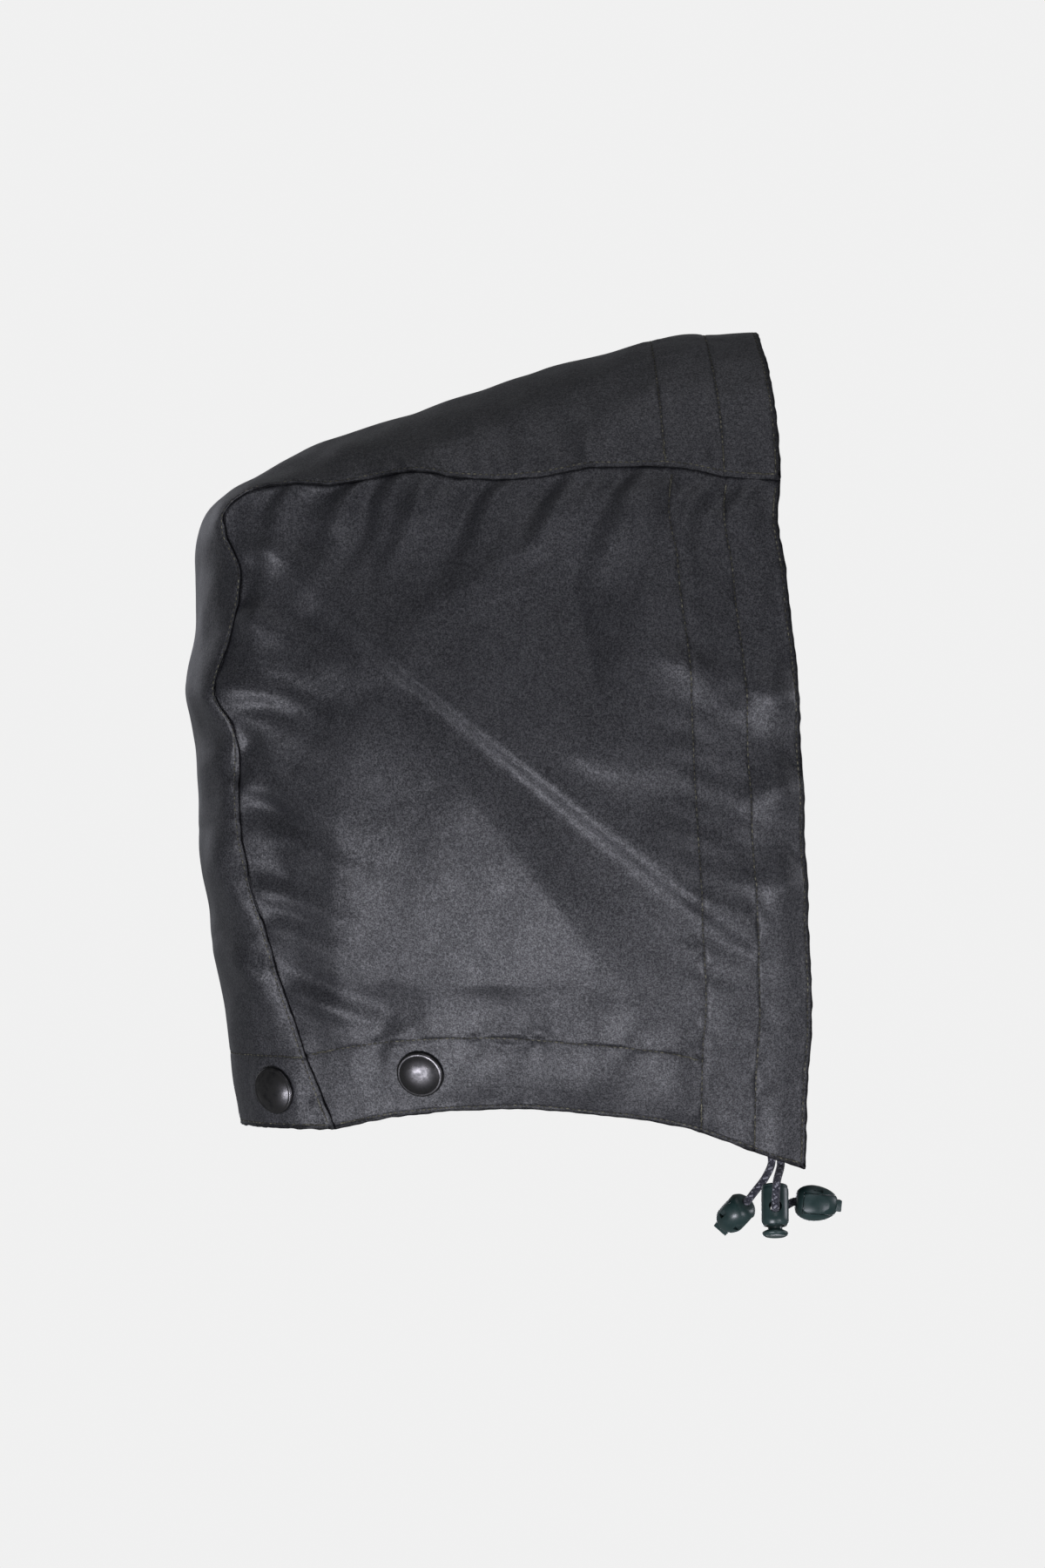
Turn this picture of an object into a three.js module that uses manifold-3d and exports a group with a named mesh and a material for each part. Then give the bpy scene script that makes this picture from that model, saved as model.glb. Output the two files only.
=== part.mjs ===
// A detachable storm hood in waxed cotton, held in the form that it has on a head.
// Three sewn panels (a centre panel over the crown and two side panels) make the
// hollow hood. Four press studs along the neck hold it to a collar, and a drawcord
// in the tunnel round the face leaves it at both lower corners, with a barrel lock
// on the right end and a two-part bell on each end.
// Millimetres. X points out of the face opening, Y to the wearer's left, Z up.
// The origin is inside the crown, where the head carries the hood.

import * as THREE from 'three';
import { mergeVertices } from 'three/addons/utils/BufferGeometryUtils.js';
import Module from 'manifold-3d';

const wasm = await Module();
wasm.setup();

// Driving dimensions
const HOOD_DEPTH = 261; // back of the crown to the front of the face opening
const HOOD_HEIGHT = 352; // top of the face opening to its lower corner
const HOOD_WIDTH = 196; // cheek to cheek, before the side panels swell out
const SIDE_SWELL = 14; // how far a side panel is rounded out past its edges
const LOW_SWELL = 1.5; // how much more a side panel swells near the neck
const CLOTH = 1.2; // the waxed cotton wall
const FACING = 0.8; // the second ply behind the front band and the neck band
const GAP = 0.3; // left between two pieces that touch
const SEAM_LAP = 8; // how far a side panel reaches under the centre panel
const TUNNEL_WIDTH = 22; // the drawcord tunnel behind the front edge
const FRONT_BAND = 45; // front edge to the inner row of stitches
const NECK_BAND = 34; // hem to the row of stitches above the studs
const FOLD_HEIGHT = 8; // the tallest fold
const FOLD_WIDTH = 30; // the widest fold, from its crest to its foot

const CAP_DIAMETER = 20;
const CAP_HEIGHT = 3.6;
const CAP_RIM = 1.2;
const POST_DIAMETER = 4;
const RIVET_DIAMETER = 5.6;
const RIVET_HEIGHT = 0.5;
const SOCKET_DIAMETER = 13;
const SOCKET_BASE = 0.8;
const SOCKET_HEIGHT = 3.6;
const SOCKET_BORE = 6.4;
const STUD_ABOVE_HEM = 17; // hem to the middle of a press stud

const CORD_DIAMETER = 3.2;
const CORD_BEND = 7; // radius of the cord's tight bends
const TUNNEL_MOUTH = 8; // how deep the open end of the tunnel is
const MOUTH_BEHIND = 10; // front edge to the middle of that open end
const CORD_TUCK = 7; // how far the cord reaches up the open end

const BARREL_LENGTH = 17.4;
const BARREL_DIAMETER = 11.4;
const BARREL_BORE = 8;
const BARREL_TOP = 2; // closed end above the bore
const BARREL_HOLE = 5.4; // cross hole for the cord
const BARREL_HOLE_DOWN = 10; // top of the barrel to the middle of the cross hole
const BUTTON_DIAMETER = 10.8;
const BUTTON_HEIGHT = 2.4;
const BUTTON_TRAVEL = 1.8;
const PLUNGER_REACH = 10.2; // how far the plunger reaches up the bore
const LOCK_LEAN = 15; // degrees that the barrel's lower end swings out

const BELL_LENGTH = 17.5;
const BELL_DIAMETER = 15;
const BELL_FLAT = 12.4; // across the flat sides of the insert
const BELL_TAB = 1.6; // how far the latch stands past the closed end
const BELL_LIP = 2.6; // solid ring round the mouth
const BELL_SLOT = 8.6; // width of the slot that takes the insert
const BELL_WINDOW = 1.9; // width of the windows that the insert's barbs click into
const BELL_WINDOW_LENGTH = 3.8;
const BELL_WINDOWS_APART = 8.6; // between the middles of the two windows
const BELL_CORD_DEPTH = 9; // how far the cord reaches into a bell

// Colours and finish
const finish = {
  cloth: new THREE.MeshStandardMaterial({ color: 0x2f3034, roughness: 0.62, metalness: 0 }),
  stud: new THREE.MeshStandardMaterial({ color: 0x3c393a, roughness: 0.35, metalness: 0.9 }),
  socket: new THREE.MeshStandardMaterial({ color: 0x9a9690, roughness: 0.3, metalness: 1 }),
  cord: new THREE.MeshStandardMaterial({ color: 0x23242e, roughness: 0.8, metalness: 0 }),
  lock: new THREE.MeshStandardMaterial({ color: 0x14302e, roughness: 0.4, metalness: 0 }),
};

// The line down the middle of the centre panel and its right seam, from the front
// edge over the crown to the neck. X is a share of HOOD_DEPTH from the back, Z of
// HOOD_HEIGHT from the lower corner, Y of half HOOD_WIDTH. Turn is the angle, in
// degrees, that the panel turns through from its middle to its seam.
const STATIONS = [
  { midX: 0.921, midZ: 0.998, seamX: 0.951, seamZ: 0.814, seamY: 0.735, turn: 56 },
  { midX: 0.846, midZ: 0.996, seamX: 0.873, seamZ: 0.817, seamY: 0.74, turn: 56 },
  { midX: 0.782, midZ: 0.994, seamX: 0.804, seamZ: 0.826, seamY: 0.74, turn: 57 },
  { midX: 0.665, midZ: 0.971, seamX: 0.68, seamZ: 0.828, seamY: 0.735, turn: 58 },
  { midX: 0.541, midZ: 0.946, seamX: 0.569, seamZ: 0.817, seamY: 0.72, turn: 60 },
  { midX: 0.414, midZ: 0.913, seamX: 0.444, seamZ: 0.817, seamY: 0.695, turn: 63 },
  { midX: 0.286, midZ: 0.882, seamX: 0.347, seamZ: 0.823, seamY: 0.66, turn: 67 },
  { midX: 0.191, midZ: 0.857, seamX: 0.243, seamZ: 0.808, seamY: 0.62, turn: 70 },
  { midX: 0.116, midZ: 0.826, seamX: 0.166, seamZ: 0.809, seamY: 0.58, turn: 74 },
  { midX: 0.062, midZ: 0.801, seamX: 0.11, seamZ: 0.802, seamY: 0.55, turn: 76 },
  { midX: 0.031, midZ: 0.779, seamX: 0.073, seamZ: 0.78, seamY: 0.53, turn: 78 },
  { midX: 0.015, midZ: 0.749, seamX: 0.066, seamZ: 0.753, seamY: 0.53, turn: 79 },
  { midX: 0.01, midZ: 0.702, seamX: 0.095, seamZ: 0.705, seamY: 0.55, turn: 80 },
  { midX: 0.01, midZ: 0.634, seamX: 0.08, seamZ: 0.637, seamY: 0.58, turn: 80 },
  { midX: 0, midZ: 0.571, seamX: 0.059, seamZ: 0.568, seamY: 0.6, turn: 80 },
  { midX: 0.006, midZ: 0.518, seamX: 0.088, seamZ: 0.521, seamY: 0.6, turn: 80 },
  { midX: 0.011, midZ: 0.471, seamX: 0.081, seamZ: 0.469, seamY: 0.595, turn: 80 },
  { midX: 0.024, midZ: 0.392, seamX: 0.089, seamZ: 0.398, seamY: 0.58, turn: 80 },
  { midX: 0.032, midZ: 0.316, seamX: 0.12, seamZ: 0.314, seamY: 0.555, turn: 79 },
  { midX: 0.048, midZ: 0.233, seamX: 0.15, seamZ: 0.235, seamY: 0.525, turn: 78 },
  { midX: 0.063, midZ: 0.147, seamX: 0.187, seamZ: 0.145, seamY: 0.495, turn: 77 },
  { midX: 0.083, midZ: 0.045, seamX: 0.24, seamZ: 0.044, seamY: 0.465, turn: 76 },
];
const CROWN_STATION = 10; // where the seam turns from the top to the back
const PEAK_STATIONS = 3; // the stations over which the front edge's curve fades out
const PEAK_CURVE = 2.2; // how strongly the front edge curves forward over the brow

// Front edge of a side panel, from its lower corner up to the seam, and the hem,
// from the back seam forward to that corner. Shares as in STATIONS.
const FRONT_EDGE = [
  { x: 0.992, z: 0, y: 0.655 },
  { x: 0.995, z: 0.107, y: 0.745 },
  { x: 1, z: 0.163, y: 0.795 },
  { x: 0.991, z: 0.308, y: 0.89 },
  { x: 0.983, z: 0.438, y: 0.93 },
  { x: 0.974, z: 0.594, y: 0.93 },
  { x: 0.964, z: 0.655, y: 0.9 },
  { x: 0.958, z: 0.707, y: 0.86 },
  { x: 0.946, z: 0.762, y: 0.81 },
];
const HEM = [
  { x: 0.304, z: 0.055, y: 0.52 },
  { x: 0.393, z: 0.065, y: 0.58 },
  { x: 0.541, z: 0.071, y: 0.66 },
  { x: 0.68, z: 0.064, y: 0.705 },
  { x: 0.789, z: 0.052, y: 0.715 },
  { x: 0.881, z: 0.029, y: 0.705 },
  { x: 0.941, z: 0.013, y: 0.685 },
];

// Folds of a side, each a crest that runs from start by way of bend to end, in shares
// of HOOD_DEPTH and HOOD_HEIGHT. Rise is a share of FOLD_HEIGHT, below zero for a
// hollow. Left and right are shares of FOLD_WIDTH: how far the fold spreads to
// either side of its crest, for someone who looks along it from start to end.
const FOLDS = [
  // The long crease from the crown down to the front, and the swell under it
  { start: [0.093, 0.762], bend: [0.551, 0.467], end: [1.003, 0.211], rise: 0.55, left: 0.8, right: 0.15 },
  { start: [0.23, 0.664], bend: [0.514, 0.407], end: [0.727, 0.16], rise: 0.78, left: 0.65, right: 1.4 },
  { start: [0.255, 0.475], bend: [0.25, 0.338], end: [0.257, 0.141], rise: 0.3, left: 0.7, right: 0.5 },
  // Gathers that run down from the top seam
  { start: [0.649, 0.838], bend: [0.653, 0.769], end: [0.401, 0.658], rise: 0.5, left: 0.4, right: 0.4 },
  { start: [0.769, 0.829], bend: [0.71, 0.769], end: [0.65, 0.7], rise: 0.4, left: 0.35, right: 0.35 },
  { start: [0.401, 0.838], bend: [0.381, 0.769], end: [0.32, 0.689], rise: 0.35, left: 0.4, right: 0.4 },
  { start: [0.25, 0.819], bend: [0.219, 0.779], end: [0.16, 0.74], rise: 0.25, left: 0.4, right: 0.4 },
  // The rounded form in front of the crease
  { start: [0.542, 0.559], bend: [0.67, 0.486], end: [0.812, 0.507], rise: 0.6, left: 1.2, right: 0.5 },
  { start: [0.769, 0.78], bend: [0.758, 0.651], end: [0.749, 0.519], rise: 0.25, left: 0.5, right: 0.5 },
  { start: [0.599, 0.727], bend: [0.62, 0.643], end: [0.639, 0.559], rise: -0.4, left: 0.6, right: 0.6 },
  // The crease across the back seam and the pocket under it
  { start: [-0.001, 0.575], bend: [0.08, 0.54], end: [0.17, 0.47], rise: 0.5, left: 0.5, right: 0.3 },
  { start: [0.09, 0.51], bend: [0.13, 0.47], end: [0.14, 0.39], rise: -0.6, left: 0.45, right: 0.45 },
  { start: [0.11, 0.74], bend: [0.126, 0.68], end: [0.12, 0.58], rise: 0.3, left: 0.35, right: 0.35 },
  { start: [0.029, 0.4], bend: [0.06, 0.34], end: [0.13, 0.29], rise: 0.5, left: 0.35, right: 0.3 },
  { start: [0.049, 0.27], bend: [0.09, 0.25], end: [0.15, 0.2], rise: 0.4, left: 0.35, right: 0.3 },
  // Puckers between the two rows of stitches in front
  { start: [0.748, 0.617], bend: [0.805, 0.591], end: [0.861, 0.554], rise: 0.35, left: 0.35, right: 0.3 },
  { start: [0.891, 0.575], bend: [0.932, 0.546], end: [0.979, 0.554], rise: 0.55, left: 0.4, right: 0.35 },
  { start: [0.891, 0.449], bend: [0.939, 0.441], end: [0.982, 0.459], rise: 0.5, left: 0.4, right: 0.35 },
  { start: [0.891, 0.344], bend: [0.946, 0.333], end: [0.987, 0.354], rise: 0.5, left: 0.4, right: 0.4 },
  // Slack above and below the row of stitches at the neck
  { start: [0.31, 0.22], bend: [0.33, 0.189], end: [0.359, 0.161], rise: -0.35, left: 0.4, right: 0.4 },
  { start: [0.5, 0.22], bend: [0.5, 0.191], end: [0.49, 0.16], rise: -0.25, left: 0.5, right: 0.5 },
  { start: [0.68, 0.21], bend: [0.67, 0.18], end: [0.67, 0.15], rise: -0.25, left: 0.4, right: 0.4 },
  { start: [0.47, 0.14], bend: [0.48, 0.11], end: [0.48, 0.08], rise: 0.25, left: 0.4, right: 0.4 },
  { start: [0.63, 0.14], bend: [0.64, 0.11], end: [0.64, 0.069], rise: 0.25, left: 0.4, right: 0.4 },
  { start: [0.781, 0.13], bend: [0.781, 0.1], end: [0.79, 0.06], rise: 0.25, left: 0.4, right: 0.4 },
];

// How finely the panels are meshed: cells across each stretch between stitch rows.
const CELLS = { body: 18, band: 2, tunnel: 3, neck: 3, height: 21, acrossCentre: 10 };
const AROUND = 12; // sides of a round piece
const FOLD_BLUNT = 0.08; // share of a fold's taper that its two ends do without
const FINE_STEP = 0.01; // step of the differences that give a surface its normal

const mean = (values) => values.reduce((sum, value) => sum + value, 0) / values.length;
const halfWidth = HOOD_WIDTH / 2;
const placed = (x, y, z) => new THREE.Vector3(x * HOOD_DEPTH, y * halfWidth, z * HOOD_HEIGHT);
const middleLine = new THREE.CatmullRomCurve3(STATIONS.map((s) => placed(s.midX, 0, s.midZ)));
const seamLine = new THREE.CatmullRomCurve3(STATIONS.map((s) => placed(s.seamX, s.seamY, s.seamZ)));
const turnLine = new THREE.CatmullRomCurve3(STATIONS.map((s, k) => new THREE.Vector3(k, s.turn, 0)));
const lastStation = STATIONS.length - 1;

// A function from a share of the arc length between two parameters to the parameter.
function byLength(curvePoint, from, to, pieces = 400) {
  const lengths = [0];
  let before = curvePoint(from);
  for (let k = 1; k <= pieces; k++) {
    const here = curvePoint(from + ((to - from) * k) / pieces);
    lengths.push(lengths[k - 1] + here.distanceTo(before));
    before = here;
  }
  const total = lengths[pieces];
  const parameter = (share) => {
    const wanted = share * total;
    let k = 1;
    while (k < pieces && lengths[k] < wanted) k++;
    const within = (wanted - lengths[k - 1]) / Math.max(lengths[k] - lengths[k - 1], 1e-9);
    return from + ((to - from) * (k - 1 + within)) / pieces;
  };
  return { total, parameter };
}

const foldCurves = FOLDS.map((f) => ({
  ...f,
  line: new THREE.QuadraticBezierCurve(
    new THREE.Vector2(f.start[0] * HOOD_DEPTH, f.start[1] * HOOD_HEIGHT),
    new THREE.Vector2(f.bend[0] * HOOD_DEPTH, f.bend[1] * HOOD_HEIGHT),
    new THREE.Vector2(f.end[0] * HOOD_DEPTH, f.end[1] * HOOD_HEIGHT),
  ).getPoints(12),
}));

// How far the folds lift the cloth at a place seen from the side.
function foldLift(x, z) {
  const here = new THREE.Vector2(x, z);
  let lift = 0;
  for (const fold of foldCurves) {
    const pieces = fold.line.length - 1;
    let nearest = { far: Infinity, along: 0, spread: 1 };
    for (let k = 0; k < pieces; k++) {
      const run = fold.line[k + 1].clone().sub(fold.line[k]);
      const from = here.clone().sub(fold.line[k]);
      const share = THREE.MathUtils.clamp(from.dot(run) / run.lengthSq(), 0, 1);
      const far = from.distanceTo(run.clone().multiplyScalar(share));
      const beside = THREE.MathUtils.smoothstep(run.cross(from) / (run.length() * far + 1e-9), -1, 1);
      const spread = THREE.MathUtils.lerp(fold.right, fold.left, beside) * FOLD_WIDTH;
      if (far < nearest.far) nearest = { far, along: (k + share) / pieces, spread };
    }
    const taper = Math.sin(Math.PI * (FOLD_BLUNT + (1 - 2 * FOLD_BLUNT) * nearest.along));
    lift += fold.rise * FOLD_HEIGHT * taper * Math.exp(-((nearest.far / nearest.spread) ** 2));
  }
  return lift;
}

// A point of the centre panel before folding: station runs along it, across from
// -1 at the right seam to 1 at the left seam.
function centreBase(station, across) {
  const share = THREE.MathUtils.clamp(station / lastStation, 0, 1);
  const middle = middleLine.getPoint(share);
  const seam = seamLine.getPoint(share);
  const turn = THREE.MathUtils.degToRad(turnLine.getPoint(share).y);
  const angle = across * turn;
  const rise = (Math.cos(angle) - Math.cos(turn)) / (1 - Math.cos(turn));
  const curve = 1 + (PEAK_CURVE - 1) * Math.max(1 - station / PEAK_STATIONS, 0);
  return new THREE.Vector3(
    seam.x + (middle.x - seam.x) * Math.max(rise, 0) ** curve,
    (seam.y * Math.sin(angle)) / Math.sin(turn),
    seam.z + (middle.z - seam.z) * rise,
  );
}

// The outward normal of a surface given as a function of two parameters.
function normalOf(surface, a, b, stepA, stepB) {
  const alongA = surface(a + stepA, b).sub(surface(a - stepA, b));
  const alongB = surface(a, b + stepB).sub(surface(a, b - stepB));
  return alongA.cross(alongB).normalize();
}

function centreNormal(station, across) {
  const inside = THREE.MathUtils.clamp(station, 2 * FINE_STEP, lastStation - 2 * FINE_STEP);
  return normalOf(centreBase, inside, across, FINE_STEP, FINE_STEP).negate();
}

// A point at a depth under the centre panel's folded outer face.
function centreAt(station, across, depth) {
  const base = centreBase(station, across);
  return base.addScaledVector(centreNormal(station, across), foldLift(base.x, base.z) - depth);
}

// Half the width of the centre panel, measured over its curve.
function halfSpan(station) {
  return byLength((across) => centreBase(station, across), 0, 1, 20).total;
}

const underSeam = (station) =>
  centreBase(station, -1).addScaledVector(centreNormal(station, -1), -(CLOTH + GAP));
const topEdge = byLength(underSeam, CROWN_STATION, 0);
const backEdge = byLength(underSeam, lastStation, CROWN_STATION);
const rightEdge = (rows) => rows.map((r) => placed(r.x, -r.y, r.z));
const lowerCorner = placed(FRONT_EDGE[0].x, -FRONT_EDGE[0].y, FRONT_EDGE[0].z);
const frontLine = new THREE.CatmullRomCurve3([...rightEdge(FRONT_EDGE), underSeam(0)]);
const hemLine = new THREE.CatmullRomCurve3([underSeam(lastStation), ...rightEdge(HEM), lowerCorner]);

const edgeOf = {
  top: (share) => underSeam(topEdge.parameter(share)),
  back: (share) => underSeam(backEdge.parameter(share)),
  front: (share) => frontLine.getPointAt(THREE.MathUtils.clamp(share, 0, 1)),
  hem: (share) => hemLine.getPointAt(THREE.MathUtils.clamp(share, 0, 1)),
};
const corner = {
  low: edgeOf.hem(0),
  lowFront: lowerCorner,
  crown: edgeOf.top(0),
  topFront: edgeOf.top(1),
};

// A point of the right side panel before folding: forward runs from the back seam to
// the front edge and up from the hem to the top seam, both from 0 to 1. The panel
// fills its four edges and is swelled out between them, most above the neck.
function sideBase(forward, up) {
  const [f, u] = [forward, up].map((share) => THREE.MathUtils.clamp(share, 0, 1));
  const p = new THREE.Vector3()
    .addScaledVector(edgeOf.back(u), 1 - f)
    .addScaledVector(edgeOf.front(u), f)
    .addScaledVector(edgeOf.hem(f), 1 - u)
    .addScaledVector(edgeOf.top(f), u)
    .addScaledVector(corner.low, -(1 - f) * (1 - u))
    .addScaledVector(corner.lowFront, -f * (1 - u))
    .addScaledVector(corner.crown, -(1 - f) * u)
    .addScaledVector(corner.topFront, -f * u);
  const swell = 4 * f * (1 - f) * 3 * u * (1 - u) * (1 + LOW_SWELL * (1 - u) ** 2);
  p.y -= SIDE_SWELL * swell;
  return p;
}

function sideNormal(forward, up) {
  const margin = 2 * FINE_STEP;
  const f = THREE.MathUtils.clamp(forward, margin, 1 - margin);
  const u = THREE.MathUtils.clamp(up, margin, 1 - margin);
  return normalOf(sideBase, f, u, FINE_STEP, FINE_STEP);
}

function sideAt(forward, up, depth) {
  const base = sideBase(forward, up);
  return base.addScaledVector(sideNormal(forward, up), foldLift(base.x, base.z) - depth);
}

// The shares at which the grid lines of a side panel lie, so that lines run along
// the stitch rows, which keep their distance from the front edge and the hem.
function lineShares(length, parts) {
  const stops = [0, ...parts.map((part) => part.until(length))];
  const shares = [0];
  parts.forEach((part, k) => {
    for (let n = 1; n <= part.cells; n++) {
      shares.push(stops[k] + ((stops[k + 1] - stops[k]) * n) / part.cells);
    }
  });
  return shares;
}
const forwardParts = [
  { until: (length) => 1 - FRONT_BAND / length, cells: CELLS.body },
  { until: (length) => 1 - TUNNEL_WIDTH / length, cells: CELLS.band },
  { until: () => 1, cells: CELLS.tunnel },
];
const upParts = [
  { until: (length) => NECK_BAND / length, cells: CELLS.neck },
  { until: () => 1, cells: CELLS.height },
];
const forwardShares = (up) => lineShares(edgeOf.back(up).distanceTo(edgeOf.front(up)), forwardParts);
const upShares = (forward) => lineShares(edgeOf.hem(forward).distanceTo(edgeOf.top(forward)), upParts);
const forwardCount = forwardShares(0).length;
const upCount = upShares(0).length;
const topShares = lineShares(topEdge.total, forwardParts);
const backShares = lineShares(backEdge.total, upParts);

// The stations of the centre panel's rows, from the neck over the crown to the
// front, which are those where the side panel's grid lines reach the seam.
const rowStations = [
  ...backShares.map(backEdge.parameter),
  ...topShares.slice(1).map(topEdge.parameter),
];

// How thick the cloth is at a distance from the front edge and from the hem: one
// ply, with the facing behind both bands and the cord's tunnel behind the front.
function thickness(fromFront, fromHem) {
  const faced = fromFront <= FRONT_BAND + 1 || fromHem <= NECK_BAND + 1;
  const inTunnel = THREE.MathUtils.clamp(fromFront / TUNNEL_WIDTH, 0, 1);
  const puff = (CORD_DIAMETER + 2 * GAP) * Math.sin(Math.PI * inTunnel) ** 2;
  return CLOTH + (faced ? FACING : 0) + puff;
}

// A closed solid from an open grid of outer points, each with its inner point.
class Cloth {
  constructor() {
    this.outer = [];
    this.inner = [];
    this.faces = [];
  }

  point(outer, inner) {
    this.outer.push(outer);
    this.inner.push(inner);
    return this.outer.length - 1;
  }

  // Two triangles between four points, split along the diagonal that comes nearer
  // to the true surface at the cell's middle, where that is given.
  quad(a, b, c, d, middle) {
    const off = (i, j) => {
      const halfway = this.outer[i].clone().add(this.outer[j]).multiplyScalar(0.5);
      return middle ? halfway.distanceTo(middle) : 0;
    };
    if (off(a, c) <= off(b, d)) this.faces.push([a, b, c], [a, c, d]);
    else this.faces.push([a, b, d], [b, c, d]);
  }

  solid() {
    const count = this.outer.length;
    const triangles = [];
    const open = new Map();
    for (const [a, b, c] of this.faces) {
      triangles.push([a, b, c], [a + count, c + count, b + count]);
      for (const [from, to] of [[a, b], [b, c], [c, a]]) {
        if (!open.delete(`${to}_${from}`)) open.set(`${from}_${to}`, [from, to]);
      }
    }
    for (const [from, to] of open.values()) {
      triangles.push([to, from, from + count], [to, from + count, to + count]);
    }
    const positions = [...this.outer, ...this.inner].flatMap((p) => p.toArray());
    return closedSolid(positions, triangles.flat());
  }
}

// A manifold solid from points and triangles, turned so that its faces point out.
function closedSolid(positions, indices) {
  const geometry = new THREE.BufferGeometry()
    .setAttribute('position', new THREE.Float32BufferAttribute(positions, 3))
    .setIndex(indices);
  return solidOf(geometry);
}

function solidOf(geometry) {
  const bare = geometry.clone();
  bare.deleteAttribute('normal');
  bare.deleteAttribute('uv');
  const merged = mergeVertices(bare, 1e-4);
  const triangles = [];
  for (let k = 0; k < merged.index.count; k += 3) {
    const [a, b, c] = [0, 1, 2].map((n) => merged.index.getX(k + n));
    if (a !== b && b !== c && c !== a) triangles.push([a, b, c]);
  }
  const vertProperties = new Float32Array(merged.attributes.position.array);
  const made = (list) =>
    new wasm.Manifold(new wasm.Mesh({ numProp: 3, vertProperties, triVerts: new Uint32Array(list.flat()) }));
  const solid = made(triangles);
  return solid.volume() < 0 ? made(triangles.map(([a, b, c]) => [a, c, b])) : solid;
}

function meshOf(solid, name, material) {
  const { vertProperties, triVerts, numProp } = solid.getMesh();
  const positions = [];
  for (let k = 0; k < vertProperties.length; k += numProp) {
    positions.push(...vertProperties.subarray(k, k + 3));
  }
  const geometry = new THREE.BufferGeometry()
    .setAttribute('position', new THREE.Float32BufferAttribute(positions, 3))
    .setIndex([...triVerts]);
  geometry.computeVertexNormals();
  const mesh = new THREE.Mesh(geometry, material);
  mesh.name = name;
  return mesh;
}

// The centre panel's columns, with a line where the side panel's lap ends.
function columnsAt(station) {
  const lapped = 1 - SEAM_LAP / halfSpan(station);
  const columns = [-1];
  for (let k = 0; k <= CELLS.acrossCentre; k++) {
    columns.push(-lapped + (2 * lapped * k) / CELLS.acrossCentre);
  }
  return [...columns, 1];
}

function centreThickness(station) {
  const fromFront = byLength((s) => middleLine.getPoint(s / lastStation), 0, station, 60).total;
  const fromHem = byLength((s) => middleLine.getPoint(s / lastStation), station, lastStation, 60).total;
  return thickness(fromFront, fromHem);
}

function centrePanel() {
  const cloth = new Cloth();
  const rows = rowStations.map((station) => {
    const wall = centreThickness(station);
    const columns = columnsAt(station);
    const points = columns.map((across, k) => {
      const edge = k === 0 || k === 1 || k >= columns.length - 2;
      return cloth.point(centreAt(station, across, 0), centreAt(station, across, edge ? CLOTH : wall));
    });
    return { station, columns, points };
  });
  for (let r = 0; r + 1 < rows.length; r++) {
    const [low, high] = [rows[r], rows[r + 1]];
    const last = low.points.length - 2;
    for (let c = 0; c <= last; c++) {
      const cell = [low.points[c], low.points[c + 1], high.points[c + 1], high.points[c]];
      const across = [low, high].flatMap((row) => [row.columns[c], row.columns[c + 1]]);
      const middle = centreAt((low.station + high.station) / 2, mean(across), 0);
      // Over a lap both panels split their cells alike, or the corners would touch.
      if (c === 0) cloth.quad(...cell);
      else if (c === last) cloth.quad(cell[1], cell[2], cell[3], cell[0]);
      else cloth.quad(...cell, middle);
    }
  }
  return cloth.solid();
}

// A side panel with the lap that reaches under the centre panel. Side is -1 for the
// right panel and 1 for the left one, its mirror image.
function sidePanel(side) {
  const cloth = new Cloth();
  const turned = (p) => new THREE.Vector3(p.x, -side * p.y, p.z);
  const grid = [];
  const places = [];
  for (let r = 0; r < upCount; r++) {
    grid.push([]);
    places.push([]);
    for (let c = 0; c < forwardCount; c++) {
      const up = r === upCount - 1 ? 1 : upShares(c / (forwardCount - 1))[r];
      const forward = c === 0 ? 0 : up === 1 ? topShares[c] : forwardShares(up)[c];
      const rise = c === 0 ? backShares[r] : up;
      const fromFront = (1 - forward) * edgeOf.back(rise).distanceTo(edgeOf.front(rise));
      const fromHem = rise * edgeOf.hem(forward).distanceTo(edgeOf.top(forward));
      const wall = thickness(fromFront, fromHem);
      const onSeam = c === 0 || r === upCount - 1;
      const station = c === 0 ? backEdge.parameter(rise) : topEdge.parameter(forward);
      const at = onSeam
        ? (depth) => centreAt(station, -1, CLOTH + GAP + depth)
        : (depth) => sideAt(forward, rise, depth);
      grid[r].push(cloth.point(turned(at(0)), turned(at(onSeam ? CLOTH : wall))));
      places[r].push({ forward, rise });
    }
  }
  for (let r = 0; r + 1 < upCount; r++) {
    for (let c = 0; c + 1 < forwardCount; c++) {
      const around = [places[r][c], places[r][c + 1], places[r + 1][c + 1], places[r + 1][c]];
      const middle = sideAt(mean(around.map((p) => p.forward)), mean(around.map((p) => p.rise)), 0);
      cloth.quad(grid[r][c], grid[r][c + 1], grid[r + 1][c + 1], grid[r + 1][c], turned(middle));
    }
  }
  const seamPoints = [...grid.map((row) => row[0]), ...grid[upCount - 1].slice(1)];
  const lapPoints = rowStations.map((station) => {
    const across = columnsAt(station)[1];
    const at = (depth) => turned(centreAt(station, across, CLOTH + GAP + depth));
    return cloth.point(at(0), at(CLOTH));
  });
  for (let k = 0; k + 1 < seamPoints.length; k++) {
    cloth.quad(seamPoints[k], seamPoints[k + 1], lapPoints[k + 1], lapPoints[k]);
  }
  return cloth.solid();
}

// A turned solid about Z from [radius, height] pairs.
function turnedSolid(profile, sides = AROUND) {
  const points = profile.map(([r, h]) => new THREE.Vector2(r, h));
  return solidOf(new THREE.LatheGeometry(points, sides));
}

function cylinder(radius, from, to, sides = AROUND) {
  return turnedSolid([[0, from], [radius, from], [radius, to], [0, to]], sides);
}

function box(low, high) {
  const size = high.map((h, k) => h - low[k]);
  const middle = high.map((h, k) => (h + low[k]) / 2);
  return solidOf(new THREE.BoxGeometry(...size).translate(...middle));
}

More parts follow.
